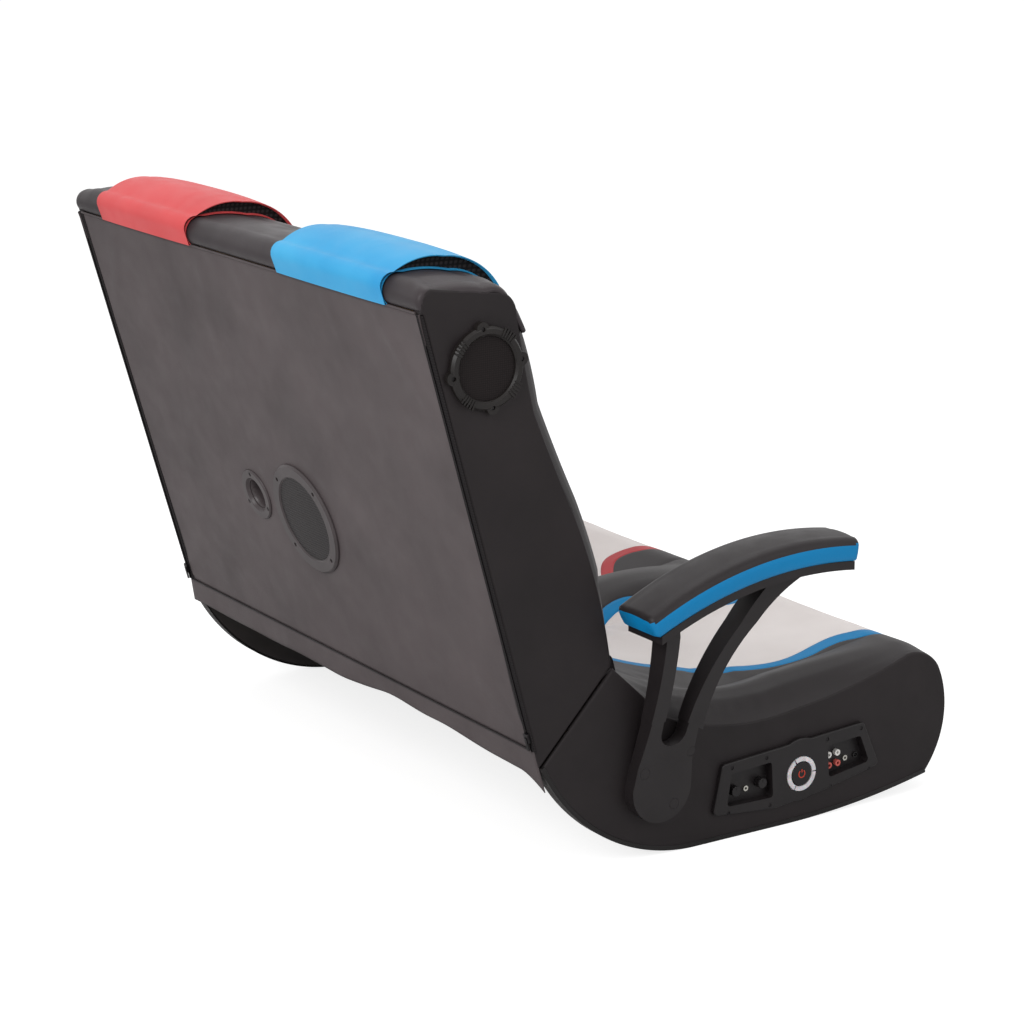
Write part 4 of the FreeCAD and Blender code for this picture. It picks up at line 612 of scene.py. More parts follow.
def cushion(x0, x1, line, inner, seams):
    """A padded panel between two X values: its face drawn down at both seams, its back inner mm below."""
    step = 6.0
    nx = max(6, round((x1 - x0) / step))
    lines = [line(x0 + (x1 - x0) * k / nx) for k in range(nx + 1)]
    nv = round(sum(math.dist(a, b) for a, b in zip(lines[0], lines[0][1:])) / step)

    def shape(u, v):
        k = min(round(u * nx), nx)
        x = x0 + (x1 - x0) * k / nx
        sink = 1.6 * roundover(min(x - x0, x1 - x), 6.0)
        return place(x, shifted(along(lines[k], v), facing(lines[k], v), -sink * seams))

    bm = mapped_grid(nx, nv, shape)
    facing_way(bm, (0, -0.35, 1) if line is seat_line else (0, -1, 0.3))
    bm.normal_update()
    under = [(vert, -vert.normal.copy()) for vert in bm.verts]
    bmesh.ops.extrude_face_region(bm, geom=list(bm.faces))
    for vert, way in under:
        vert.co += way * inner * MM
    return outward(bm)


def edge_distance(x, y, outline):
    """Signed distance in metres from the sewn edge of the pale panel, positive outside it."""
    inside = False
    nearest = 1e9
    for (x0, y0), (x1, y1) in zip(outline, outline[1:] + outline[:1]):
        if (y0 > y) != (y1 > y) and x < (x1 - x0) * (y - y0) / (y1 - y0) + x0:
            inside = not inside
        dx, dy = x1 - x0, y1 - y0
        k = max(0.0, min(1.0, ((x - x0) * dx + (y - y0) * dy) / (dx * dx + dy * dy)))
        nearest = min(nearest, math.hypot(x - x0 - k * dx, y - y0 - k * dy))
    return -nearest * MM if inside else nearest * MM


# Sewn edge of a seat's pale panel as (|x|, y), y running on down the nose beyond the crest
SEAT_PALE = [(225, 12), (262, -8), (300, -50), (335, -82), (360, -118), (378, -155), (386, -190),
             (383, -225), (375, -262), (372, -300), (384, -331), (388, -400), (384, -480), (384, -600),
             (160, -600), (158, -480), (160, -400), (160, -330), (168, -300), (160, -262), (130, -232),
             (85, -206), (68, -180), (62, -150), (68, -110), (95, -60), (140, -15), (185, 6)]
SEAT_BAND = ((-600, 22), (-330, 22), (-250, 20), (-180, 14), (-100, 15), (20, 16))
# Sewn edge on the back as (|x|, s)
BACK_PALE = [(130, 60), (128, 200), (112, 320), (118, 420), (150, 520), (160, 640), (320, 640), (330, 520),
             (362, 420), (368, 320), (352, 200), (350, 60)]
BACK_BAND = ((60, 14), (300, 16), (600, 20))
CREST = (-331.0, 218.0)


def rounded(points, times=3):
    """A closed outline with its corners cut again and again until it is smooth."""
    for _ in range(times):
        pairs = list(zip(points, points[1:] + points[:1]))
        points = [(a[0] + (b[0] - a[0]) * k, a[1] + (b[1] - a[1]) * k)
                  for a, b in pairs for k in (0.25, 0.75)]
    return points


def up_back(point):
    """Distance up the backrest of a (y, z) point, both in millimetres."""
    return (point[0] - FOOT[0]) * UP[0] + (point[1] - FOOT[1]) * UP[1]


def sewn_pattern(piece, on_seat):
    """Writes how far each point is from the pale panel's sewn edge, and how wide the band is there."""
    mesh = piece.data
    edges, widths = [], []
    outline = rounded(SEAT_PALE if on_seat else BACK_PALE)
    band = SEAT_BAND if on_seat else BACK_BAND
    for v in mesh.vertices:
        x, y, z = v.co.x / MM, v.co.y / MM + DEPTH_MIDDLE, v.co.z / MM
        if on_seat:
            run = y - max(0.0, CREST[1] - z) if y < CREST[0] else y
        else:
            run = up_back((y, z))
        edges.append(edge_distance(abs(x), run, outline))
        widths.append(lookup(band, run) * MM)
    for name, values in (("from_edge", edges), ("band_width", widths)):
        mesh.attributes.new(name, "FLOAT", "POINT").data.foreach_set("value", values)


def puffed(piece, towards):
    """The face that looks towards a direction swells like cloth filled with air for a few frames, no
    point further than the swell setting; the rest is held still."""
    scene = bpy.context.scene
    cap = scene.rocker_sizes.swell * MM
    start = [v.co.copy() for v in piece.data.vertices]
    loose = [1.0 if v.normal.dot(towards) > 0.55 else 0.0 for v in piece.data.vertices]
    group = piece.vertex_groups.new(name="held")
    for k, share in enumerate(loose):
        group.add([k], 1.0 - share, "REPLACE")
    cloth = piece.modifiers.new("Cloth", "CLOTH")
    settings = cloth.settings
    settings.use_pressure = True
    settings.vertex_group_mass = "held"
    settings.effector_weights.gravity = 0.0
    for key, value in (("quality", 4), ("uniform_pressure_force", 3.0), ("tension_stiffness", 15.0),
                       ("compression_stiffness", 15.0), ("shear_stiffness", 5.0), ("bending_stiffness", 2.0),
                       ("pin_stiffness", 1.0)):
        setattr(settings, key, value)
    for number in range(1, 11):
        scene.frame_set(number)
    moved = piece.evaluated_get(bpy.context.evaluated_depsgraph_get()).to_mesh()
    places = [v.co.copy() for v in moved.vertices]
    piece.modifiers.remove(cloth)
    piece.vertex_groups.remove(group)
    scene.frame_set(1)
    for v, was, now, share in zip(piece.data.vertices, start, places, loose):
        step = now - was
        if step.length > cap:
            step *= cap / step.length
        v.co = was + step * share


# The operators

class RockerColours(bpy.types.PropertyGroup):
    """Colours of the chair, as sRGB hex."""
    side_vinyl: bpy.props.StringProperty(
        name="Side vinyl", description="Sides of the seat and the backrest", default="#262122")
    rear_vinyl: bpy.props.StringProperty(
        name="Rear vinyl", description="Zipped sheet over the rear", default="#585051")
    black_leather: bpy.props.StringProperty(
        name="Black leatherette", description="Bolsters, ridge and arm tops", default="#2B2728")
    pale_leather: bpy.props.StringProperty(
        name="Pale leatherette", description="Middle of each seat", default="#EAE3E0")
    red_leather: bpy.props.StringProperty(
        name="Red leatherette", description="Left headrest pad", default="#DC5658")
    blue_leather: bpy.props.StringProperty(
        name="Blue leatherette", description="Right headrest pad", default="#45ADDE")
    band_blue: bpy.props.StringProperty(
        name="Blue band", description="Right arm's side and the right seat's band", default="#007CB4")
    band_red: bpy.props.StringProperty(
        name="Red band", description="Left arm's side and the left seat's band", default="#B0353A")


class RockerSizes(bpy.types.PropertyGroup):
    """Sizes that the dressing adds to the frame's own."""
    edge_round: bpy.props.FloatProperty(
        name="Edge rounding", description="Rounding of the moulded edges", default=1.5, min=0.2, max=4.0)
    swell: bpy.props.FloatProperty(
        name="Swell", description="How far a cushion may puff, in millimetres", default=5.0,
        min=0.0, max=30.0)


class ROCKER_OT_stage(bpy.types.Operator):
    """Camera, floor, lamps and the pale background"""
    bl_idname = "rocker.stage"
    bl_label = "Stage"

    def execute(self, context):
        scene = context.scene
        scene.view_settings.view_transform = "Standard"
        camera = bpy.data.objects.new("camera", bpy.data.cameras.new("camera"))
        scene.collection.objects.link(camera)
        camera.data.lens = 101.95
        camera.data.sensor_width = 36.0
        camera.location = (-3.507, 2.2584, 1.459)
        tilt, turn = math.radians(14.69), math.radians(33.0)
        view = Vector((math.cos(tilt) * math.cos(turn), -math.cos(tilt) * math.sin(turn), -math.sin(tilt)))
        camera.rotation_euler = view.to_track_quat("-Z", "Y").to_euler()
        scene.camera = camera
        bm = bmesh.new()
        bmesh.ops.create_circle(bm, cap_ends=True, segments=96, radius=30.0)
        mesh = bpy.data.meshes.new("floor")
        bm.to_mesh(mesh)
        bm.free()
        floor = bpy.data.objects.new("floor", mesh)
        scene.collection.objects.link(floor)
        paper = bpy.data.materials.new("white studio paper")
        paper.use_nodes = True
        tree = paper.node_tree
        tree.nodes.clear()
        ray = add(tree, "LightPath")
        diffuse = add(tree, "BsdfDiffuse", {"Color": (0.8, 0.8, 0.8, 1.0)})
        thin = add(tree, "BsdfDiffuse", {"Color": (0.45, 0.45, 0.45, 1.0)})
        glow = add(tree, "Emission", {"Color": (1, 1, 1, 1), "Strength": 0.8})
        both = add(tree, "AddShader", links={0: (thin, "BSDF"), 1: (glow, "Emission")})
        mix = add(tree, "MixShader",
                  links={"Fac": (ray, "Is Camera Ray"), 1: (diffuse, "BSDF"), 2: (both, "Shader")})
        add(tree, "OutputMaterial", links={"Surface": (mix, "Shader")})
        mesh.materials.append(paper)
        world = bpy.data.worlds.new("studio")
        scene.world = world
        world.use_nodes = True
        tree = world.node_tree
        tree.nodes.clear()
        ray = add(tree, "LightPath")
        some = add(tree, "Math", links={0: (ray, "Is Camera Ray"), 1: (ray, "Is Glossy Ray")},
                   operation="MAXIMUM")
        most = add(tree, "Math", links={0: (some, "Value"), 1: (ray, "Is Transmission Ray")},
                   operation="MAXIMUM")
        strength = add(tree, "MapRange", {"To Min": 0.5, "To Max": 1.0}, {"Value": (most, "Value")})
        sky = add(tree, "Background", {"Color": (1, 1, 1, 1)}, {"Strength": (strength, "Result")})
        add(tree, "OutputWorld", links={"Surface": (sky, "Background")})
        lamps = (("key", 95.0, 2.4, (-1.6, 3.4, 2.6)), ("fill", 28.0, 2.5, (-3.6, -1.4, 2.0)),
                 ("top", 30.0, 2.5, (0.4, -0.6, 3.4)))
        for name, energy, size, where in lamps:
            lamp = bpy.data.lights.new(name, "AREA")
            lamp.energy = energy
            lamp.shape = "DISK"
            lamp.size = size
            lit = bpy.data.objects.new(name, lamp)
            scene.collection.objects.link(lit)
            lit.location = where
            lit.rotation_euler = (AIM - Vector(where)).to_track_quat("-Z", "Y").to_euler()
        return {"FINISHED"}


class ROCKER_OT_sides(bpy.types.Operator):
    """Vinyl sides of the seat and the backrest, and the strip under each rocker"""
    bl_idname = "rocker.sides"
    bl_label = "Sides and rocker strips"

    def execute(self, context):
        def panel(u, v):
            c, s = math.cos(PANEL_TILT), math.sin(PANEL_TILT)
            return (PANEL_AT[0] - u * c + v * s, PANEL_AT[1] + u * s + v * c)

        corners = ((-146, -14), (-126, 39), (106, 39), (132, -14), (40, -27), (-45, -31))
        cut_out = [panel(u, v) for u, v in corners]
        angles = [k * math.tau / 48 for k in range(48)]
        ring = [shifted(back_at(*SPEAKER), (math.cos(a), math.sin(a)), 40.5) for a in angles]
        seat = split_edge(clean_outline(seat_side_outline()), 2.0)
        back = split_edge(clean_outline(back_side_outline()), -2.0)
        for side, hand in ((1, "left"), (-1, "right")):
            side_shell(f"seat_side_vinyl_{hand}", "seat", seat, side,
                       cut_out if side < 0 else None, (f"seat_side_cover_{hand}", "rocker_edges"))
            side_shell(f"back_side_vinyl_{hand}", "backrest", back, side, ring,
                       (f"back_side_cover_{hand}",))
            rocker_strip(side, hand)
        return {"FINISHED"}


def split_edge(outline, shift):
    """Moves the edge between the foot and the crease, towards the seat where the shift is positive."""
    way = across(FOOT, CREASE)
    return [shifted(p, way, -shift) if min(math.dist(p, FOOT), math.dist(p, CREASE)) < 1 else p
            for p in outline]


def rocker_strip(side, hand):
    """Moulded strip along the running edge, a little proud of the vinyl."""
    line = trace((-371.0, 27.0), [((-240.5, 6.7), (-110.0, 0.0)), ((38.0, 0.0),), ((199.2, 47.3), FOOT)], 8.0)
    count = len(line) - 1
    profile = [(479.5, 0.6), (480.0, 0.0), (500.6, 0.0), (501.2, 0.8), (501.2, 6.0), (500.4, 6.6),
               (499.0, 6.2), (499.0, 2.2), (479.5, 2.2)]

    def shape(u, v):
        k = min(round(u * count), count)
        x, lift = profile[round(v * len(profile)) % len(profile)]
        way = across(line[max(k - 1, 0)], line[min(k + 1, count)])
        return place(x, shifted(line[k], way, -lift))

    bm = mapped_grid(count, len(profile), shape, closed=True)
    closed_up(bm)
    piece = finish(bm, f"rocker_strip_{hand}", "seat", [material("strip")], 40.0, side)
    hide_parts("rocker_edges")
    return piece


class ROCKER_OT_seat(bpy.types.Operator):
    """Seat cushions: a bolster along each side, the ridge in the middle and a pale panel for each sitter"""
    bl_idname = "rocker.seat"
    bl_label = "Seat cushions"

    def execute(self, context):
        cushions("seat", seat_line, 22.0, "seat", "seat_bolsters", "seat_panel_{}",
                 ("seat_ridge", "seat_hump"))
        return {"FINISHED"}


def cushions(word, line, inner, body, bolsters, panel, ridge):
    """Bolster, pale panel and ridge of the seat or the back, with the CAD nodes that they replace."""
    on_seat = line is seat_line
    seams = 1 if on_seat else -1
    parts = ((f"{word}_bolster", SEAM_X, EDGE_X, "black_upholstery", bolsters),
             (f"{word}_middle", RIDGE_X, SEAM_X, "white_upholstery", panel))
    for side, hand in ((1, "left"), (-1, "right")):
        for name, x0, x1, slot, node in parts:
            bm = cushion(x0, x1, line, inner, seams)
            piece = finish(bm, f"{name}_{hand}", body, [material("cushions")], 60.0, side)
            dress(piece, on_seat, node.format(hand))
    bm = cushion(-RIDGE_X, RIDGE_X, line, inner, seams)
    dress(finish(bm, ridge[0], body, [material("cushions")], 60.0), on_seat, ridge[1])


def dress(piece, on_seat, node):
    puffed(piece, Vector((0, -0.5, 1) if on_seat else (0, -1, 0.3)).normalized())
    sewn_pattern(piece, on_seat)
    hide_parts(node)


class ROCKER_OT_back(bpy.types.Operator):
    """Back cushions over the front of the backrest"""
    bl_idname = "rocker.back"
    bl_label = "Back cushions"

    def execute(self, context):
        cushions("back", back_line, 18.0, "backrest", "back_bolsters", "back_panel_{}",
                 ("back_ridge_pad", "back_ridge"))
        return {"FINISHED"}


def roll_line(proud):
    """Side view of the headrest roll, from the cushion's top in front over to the rear sheet."""
    b = back_at
    p = proud
    return trace(b(575.3, 139.5), [
        (b(600, 132 + p), b(620, 125 + p)),
        (b(646, 109 + p), b(647 + p, 95)),
        (b(660 + p, 68), b(668 + p * 1.2, 29)),
        (b(675.5 + p * 0.25, 4), b(654, 0.5 - p * 0.1)),
    ], 4.0)


class ROCKER_OT_headrest(bpy.types.Operator):
    """Padded roll along the top, and a saddled pad for each sitter"""
    bl_idname = "rocker.headrest"
    bl_label = "Headrest"

    def execute(self, context):
        ends = ((0, 12.0), (455, 12.0), (485, 7.0), (500, 1.0))
        nx = 120
        xs = []
        for k in range(nx + 1):
            share = 2 * k / nx - 1
            xs.append(math.copysign(HALF * (1 - (1 - abs(share)) ** 1.35), share))
        lines = [roll_line(lookup(ends, abs(x))) for x in xs]

        def shape(u, v):
            k = min(round(u * nx), nx)
            sink = 6.0 * roundover(HALF - abs(xs[k]), 7.0)
            return place(xs[k], shifted(along(lines[k], v), facing(lines[k], v), sink))

        bm = mapped_grid(nx, 56, shape)
        facing_way(bm, (0, 0, 1))
        roll = finish(bm, "headrest_roll_cover", "backrest",
                      [material("vinyl_roll")], 60.0)
        modifier(roll, "SOLIDIFY", thickness=5.0 * MM, offset=-1.0)
        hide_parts("headrest_roll")
        for side, hand, key in ((1, "left", "vinyl_red"), (-1, "right", "vinyl_blue")):
            head_pad(side, hand, key)
        return {"FINISHED"}


def pad_section(fill):
    """Side view of a headrest pad: its outside from the front's low edge to the rear, then its inside."""
    b = back_at

    def at(s, t, ds, dt):
        return b(s + ds * fill, t + dt * fill)

    front = 148.0
    outer = trace(b(440, front), [
        (at(440, front, -4, 9), at(448, front, 0, 15)),
        (at(530, front, 0, 19), at(612, front - 3, 4, 14)),
        (at(650, 120, 17, 6), at(665, 92, 20, 0)),
        (at(682, 50, 13, 0), at(684.5, 18, 5, -1)),
        (at(680, 4, 6, -6), at(668, -1, 3, -5)),
        (at(652, -1, 0, -4),),
    ], 4.0)
    inner = trace(b(652, -0.4), [
        (b(681, 3), b(683.5, 30)),
        (b(673, 69), b(660, 96)),
        (b(647, 122), b(620, 145)),
        (b(440, front),),
    ], 4.0)
    return outer, inner


def head_pad(side, hand, key):
    """One headrest pad with its sewn ends of black mesh set back inside the cover."""
    x0, x1 = (125.0, 406.0) if side > 0 else (133.0, 416.0)
    nx, n = 60, 84
    sections = []
    for k in range(nx + 1):
        share = k / nx
        edge = abs(2 * share - 1)
        fill = 0.92 + 0.24 * (1 - edge ** 3.0)
        sections.append((x0 + (x1 - x0) * share, *pad_section(fill)))

    def shape(u, v):
        x, outer, inner = sections[min(round(u * nx), nx)]
        step = round(v * (2 * n + 1))
        point = along(outer, step / n) if step <= n else along(inner, (step - n - 1) / n)
        near = min(x - x0, x1 - x)
        bow = 8.0 * math.sin(math.pi * step / n) * (1 - min(near / 60.0, 1.0)) if step <= n else 0.0
        return place(x + math.copysign(bow, x - (x0 + x1) / 2), point)

    bm = mapped_grid(nx, 2 * n + 1, shape, closed=True)
    for x, outer, inner in (sections[0], sections[-1]):
        way = math.copysign(1.0, x - (x0 + x1) / 2)

        def end(u, v):
            step = round(u * n)
            a, b = along(outer, step / n), along(inner, 1 - step / n)
            thick = max(math.dist(a, b), 0.01)
            row = round(v * 8)
            hem, lip = min(0.2, 1.3 / thick), min(0.3, 2.4 / thick)
            share = (0.0, hem, lip, 0.4, 0.5, 0.6, 1 - lip, 1 - hem, 1.0)[row]
            sunk = (0.0, 0.0, 5.0, 6.0, 6.0, 6.0, 5.0, 0.0, 0.0)[row] * min(1.0, thick / 12.0)
            bow = 8.0 * math.sin(math.pi * step / n) * (1 - share)
            return place(x + way * (bow - sunk), (a[0] + (b[0] - a[0]) * share, a[1] + (b[1] - a[1]) * share))

        cap = mapped_grid(n, 8, end, shade=lambda u, v: 1 if 0.25 < v < 0.75 else 0)
        whole = bpy.data.meshes.new("cap")
        cap.to_mesh(whole)
        cap.free()
        bm.from_mesh(whole)
        bpy.data.meshes.remove(whole)
    bmesh.ops.remove_doubles(bm, verts=bm.verts, dist=2e-5)
    outward(bm)
    piece = finish(bm, f"headrest_cushion_{hand}", "backrest",
                   [material(key), material("mesh")], 50.0, side)
    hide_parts(f"headrest_pad_{hand}")
    return piece


class ROCKER_OT_arms(bpy.types.Operator):
    """Moulded brackets and the padded armrests on them"""
    bl_idname = "rocker.arms"
    bl_label = "Arms"

    def execute(self, context):
        width = context.scene.rocker_sizes.edge_round
        for side, hand, key in ((1, "left", "band_red"), (-1, "right", "band_blue")):
            softened(f"arm_bracket_{hand}", f"arm_moulding_{hand}", "seat",
                     material("arm_plastic"), width, shorten=True)
            arm_cushion(side, hand, key)
        paint(arm_plastic="arm_bolt_caps", zinc="arm_bolts arm_tee_nuts")
        return {"FINISHED"}


def arm_cushion(side, hand, key):
    """Padded armrest: a coloured band round its sides and a crowned black top."""
    line = trace(ARM_LINE[0], [ARM_LINE[1:]], 4.0)
    nx, nv = 80, 56

    def section(u, v):
        share = min(round(u * nx), nx) / nx
        draw = roundover(min(share, 1 - share) * ARM_LENGTH, 6.0)
        swell = math.sin(math.pi * share)
        half, top = 41.0 + 1.5 * swell - 5.0 * draw, 33.0 + 5.0 * swell - 4.0 * draw
        return pad_round(v, half, top, 0.3 + 3.0 * draw)

    def shape(u, v):
        share = min(round(u * nx), nx) / nx
        x, lift = section(u, v)
        return place(ARM_MIDDLE + x, shifted(along(line, share), facing(line, share), lift))

    bm = mapped_grid(nx, nv, shape, closed=True, shade=lambda u, v: 1 if section(u, v)[1] > ARM_BAND else 0)
    closed_up(bm)
    piece = finish(bm, f"arm_cushion_{hand}", "seat",
                   [material(key), material("vinyl_black")], 50.0, side)
    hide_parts(f"arm_pad_{hand}")
    return piece


def pad_round(v, half, top, low):
    """(x, lift) round an armrest's section: under, up the outer side, over the crown, down the inner side."""
    band = ARM_BAND
    outline = trace((0.0, low), [
        ((half - 4, low),),
        ((half - 1.2, low + 1.2), (half, low + 4)),
        ((half + 0.8, band * 0.55), (half + 0.3, band - 1.2)),
        ((half - 1.0, band),),
        ((half - 0.6, band + 1.5),),
        ((half - 4.0, band + (top - band) * 0.55), (half * 0.62, top - 1.8)),
        ((half * 0.3, top - 0.3), (0.0, top)),
    ], 1.5)
    share = v * 2
    if share <= 1:
        return along(outline, share)
    x, lift = along(outline, 2 - share)
    return (-x, lift)


class ROCKER_OT_rear(bpy.types.Operator):
    """Zipped rear sheet, the loose flap below it, and the zips at both edges"""
    bl_idname = "rocker.rear"
    bl_label = "Rear cover"

    def execute(self, context):
        def at(u, v):
            x = -REAR_HALF + 2 * REAR_HALF * u
            s = COVER_LOW_S + (COVER_TOP_S - COVER_LOW_S) * v
            edge = min(1.0, min(REAR_HALF - abs(x), COVER_TOP_S - s, s - COVER_LOW_S) / 14.0)
            return place(x, back_at(s, -(0.4 + rear_wrinkles(x, s) * max(0.0, edge))))

        bm = mapped_grid(160, 104, at)
        holes = []
        for face in bm.faces:
            c = face.calc_center_median() / MM
            s = up_back((c.y + DEPTH_MIDDLE, c.z))
            if any(math.hypot(c.x - x, s - mid) < r for x, mid, r, _ in OPENINGS):
                holes.append(face)
        bmesh.ops.delete(bm, geom=holes, context="FACES")
        facing_way(bm, (0, 1, 0))
        sheet = finish(bm, "rear_sheet", "backrest", [material("vinyl_rear")], 60.0)
        modifier(sheet, "SOLIDIFY", thickness=1.2 * MM, offset=-1.0)
        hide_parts("back_cover")

        def hang(u, v):
            x = -FLAP_HALF + 2 * FLAP_HALF * u
            wave = 3.0 * math.sin(x / 61.0) + 2.0 * math.sin(x / 23.0 + 1.0)
            corner = max(0.0, (-x - 452.0) / 44.0) ** 1.5
            low = -12.0 + wave - 20.0 * corner + 13.0 * math.exp(-((x + 120.0) / 90.0) ** 2)
            low += 7.0 * math.exp(-((x + 270.0) / 80.0) ** 2) - 3.0 * math.exp(-((x - 20.0) / 45.0) ** 2)
            s = COVER_LOW_S + (low - COVER_LOW_S) * v
            t = -0.6 - v * (3.0 + 0.7 * wave) * (1 - 0.4 * corner)
            return place(x, back_at(s, t))

        bm = mapped_grid(140, 8, hang)
        facing_way(bm, (0, 1, 0))
        flap = finish(bm, "rear_flap", "backrest", [material("vinyl_rear")], 60.0)
        modifier(flap, "SOLIDIFY", thickness=1.2 * MM, offset=0.0)
        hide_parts("back_flap")
        xs = [12.0 * k - 484.0 for k in range(82)]
        piping("rear_seam_top", [(x, COVER_TOP_S + 1.0, -1.0) for x in xs], 1.6, "vinyl_rear")
        piping("rear_seam_low", [(x, COVER_LOW_S, -1.2) for x in xs], 1.4, "vinyl_black")
        for side, hand in ((1, "left"), (-1, "right")):
            zip_edge(side, hand)
        paint(black_steel="zip_slider_left zip_slider_right", tape="zip_tapes")
        return {"FINISHED"}


def rear_wrinkles(x, s):
    """Slight slack of the rear sheet in millimetres: pulls from the top corners and below the roll."""
    reach = COVER_TOP_S - COVER_LOW_S
    across_x, up_s = (x + REAR_HALF) / (2 * REAR_HALF), (s - COVER_LOW_S) / reach
    lift = 0.5 + 0.5 * math.sin(math.pi * across_x) * math.sin(math.pi * up_s)
    pulls = ((-400, 600, 60, 120, 1.8), (410, 590, 120, 130, 1.8), (-250, 620, 75, 80, 1.2),
             (120, 610, 100, 90, 1.2), (0, 630, 80, 60, 0.8), (-440, 80, 40, 110, 1.4),
             (430, 90, 140, 110, 1.4))
    for cx, cs, turn, length, depth in pulls:
        a = math.radians(turn)
        dx, ds = x - cx, s - cs
        u = dx * math.cos(a) + ds * math.sin(a)
        w = -dx * math.sin(a) + ds * math.cos(a)
        lift += depth * math.exp(-(u / length) ** 2) * math.exp(-(w / 14.0) ** 2)
    for cx, cs, _, flat in OPENINGS:
        far = (math.hypot(x - cx, s - cs) - flat) / 25.0
        lift *= max(0.0, min(1.0, far))
    return lift


def piping(name, path, radius, key):
    """A thin sewn roll along (x, s, t) points of the rear face."""
    count = len(path) - 1

    def shape(u, v):
        x, s, t = path[min(round(u * count), count)]
        a = v * math.tau
        return place(x, back_at(s + radius * math.cos(a), t + radius * math.sin(a)))

    bm = mapped_grid(count, 8, shape, closed=True)
    finish(closed_up(bm), name, "backrest", [material(key)], 60.0)


def zip_edge(side, hand):
    """Folded hem beside the zip, the coil, and the welt of the side vinyl beyond it."""
    reach = COVER_TOP_S - COVER_LOW_S
    lines = (("hem", 491.8, -0.9, 1.9, "vinyl_rear"), ("coil", 495.6, -0.8, 0.9, "nylon"),
             ("welt", 499.0, -0.4, 1.3, "vinyl_side"))
    for name, x, t, radius, key in lines:
        path = []
        for k in range(79):
            s = COVER_LOW_S + reach * k / 78
            out = 3.0 * max(0.0, (s - COVER_TOP_S + 34.0) / 34.0) ** 1.6 if name == "hem" else 0.0
            path.append((side * (x + out), s, t - 0.5 * out))
        piping(f"zip_{name}_{hand}", path, radius, key)


def paint(**finishes):
    """Gives carried-over CAD nodes their finish, each finish with its nodes in one string."""
    for key, nodes in finishes.items():
        for node in nodes.split():
            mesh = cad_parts[node].data
            mesh.materials.clear()
            mesh.materials.append(material(key))


class ROCKER_OT_speakers(bpy.types.Operator):
    """Side speakers, bass speaker and its port"""
    bl_idname = "rocker.speakers"
    bl_label = "Speakers"

    def execute(self, context):
        softened("speaker_bezels", "speaker_rings", "backrest", material("bezel"), 0.7,
                 turn=LUG_TURN)
        softened("speaker_screws", "speaker_screw_heads", "backrest",
                 material("black_steel"), 0.15, turn=LUG_TURN)
        softened("woofer_bezel", "bass_ring", "backrest", material("bezel_rear"), 0.7)
        softened("bass_port", "bass_port_flare", "backrest", material("bezel_rear"), 0.5)
        paint(cloth="speaker_cloths", cone="speaker_drivers woofer_driver", grille="woofer_grille",
              ply="subwoofer_box")
        return {"FINISHED"}


class ROCKER_OT_panel(bpy.types.Operator):
    """Control panel in the right-hand side"""
    bl_idname = "rocker.panel"
    bl_label = "Control panel"

    def execute(self, context):
        softened("panel_housing", "panel_moulding", "seat", material("panel_plastic"), 0.8)
        paint(white_plug="rca_sockets_white", red_plug="rca_sockets_red", nickel="jack_sockets",
              knob="power_socket volume_knob bass_knob power_button", board="amplifier_board",
              lens="light_ring", black_steel="panel_screws")
        power_symbol()
        return {"FINISHED"}


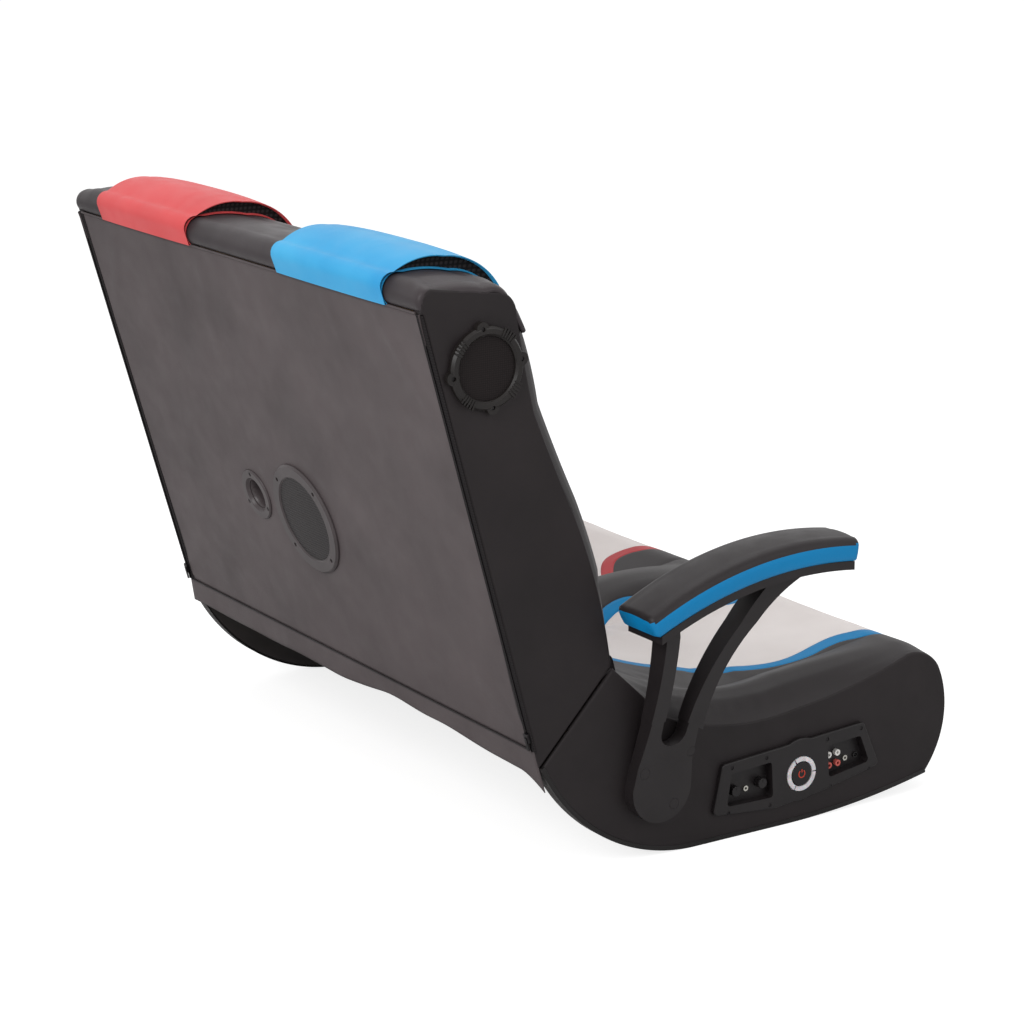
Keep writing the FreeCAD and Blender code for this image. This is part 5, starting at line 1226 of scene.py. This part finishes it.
def power_symbol():
    """Generic power sign on the button: an open ring with a bar in its gap."""
    points = [v.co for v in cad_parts["power_button"].data.vertices]
    low = [min(p[k] for p in points) for k in range(3)]
    high = [max(p[k] for p in points) for k in range(3)]
    centre = Vector((low[0] - 0.2 * MM, (low[1] + high[1]) / 2, (low[2] + high[2]) / 2))

    def open_ring(u, v):
        a = math.radians(125.0 + 290.0 * u)
        r = (4.6 + 1.5 * v) * MM
        return centre + Vector((0, r * math.cos(a), r * math.sin(a)))

    bm = mapped_grid(40, 1, open_ring)
    bar = (Matrix.Translation(centre + Vector((0, 0, 4.4 * MM))) @ Matrix.Diagonal((1, 1, 3.2, 1))
           @ Matrix.Rotation(math.radians(90), 4, "Y"))
    bmesh.ops.create_grid(bm, x_segments=1, y_segments=1, size=0.75 * MM, matrix=bar)
    for face in bm.faces:
        face.normal_update()
        if face.normal.x > 0:
            face.normal_flip()
    piece = finish(bm, "power_symbol", "power_button", [material("symbol")], 40.0)
    modifier(piece, "SOLIDIFY", thickness=0.4 * MM, offset=0.0)
    return piece


class ROCKER_OT_frame(bpy.types.Operator):
    """Finishes of the wooden frame and the steel inside"""
    bl_idname = "rocker.frame"
    bl_label = "Frame"

    def execute(self, context):
        paint(ply_black="rocker_board_left rocker_board_right back_board_left back_board_right",
              ply="seat_rails seat_deck back_rails back_support", nonwoven="dust_cover",
              black_steel="seat_hinge_plates back_hinge_plates", zinc="hinge_pins")
        return {"FINISHED"}


class ROCKER_PT_panel(bpy.types.Panel):
    """Steps that build the chair"""
    bl_idname = "ROCKER_PT_panel"
    bl_label = "Floor rocker"
    bl_space_type = "VIEW_3D"
    bl_region_type = "UI"
    bl_category = "Rocker"

    def draw(self, context):
        for group in (context.scene.rocker_sizes, context.scene.rocker_colours):
            for key in group.bl_rna.properties.keys():
                if key not in ("rna_type", "name"):
                    self.layout.prop(group, key)
        for operator in OPERATORS:
            self.layout.operator(operator.bl_idname)


OPERATORS = (ROCKER_OT_stage, ROCKER_OT_sides, ROCKER_OT_seat, ROCKER_OT_back, ROCKER_OT_headrest,
             ROCKER_OT_arms, ROCKER_OT_rear, ROCKER_OT_speakers, ROCKER_OT_panel, ROCKER_OT_frame)
CLASSES = (RockerColours, RockerSizes, *OPERATORS, ROCKER_PT_panel)


def register():
    for cls in CLASSES:
        bpy.utils.register_class(cls)
    bpy.types.Scene.rocker_colours = bpy.props.PointerProperty(type=RockerColours)
    bpy.types.Scene.rocker_sizes = bpy.props.PointerProperty(type=RockerSizes)


def unregister():
    del bpy.types.Scene.rocker_colours
    del bpy.types.Scene.rocker_sizes
    for cls in reversed(CLASSES):
        bpy.utils.unregister_class(cls)


def main():
    register()
    make_materials(bpy.context.scene.rocker_colours)
    for operator in OPERATORS:
        group, name = operator.bl_idname.split(".")
        getattr(getattr(bpy.ops, group), name)()


if __name__ == "__main__":
    main()
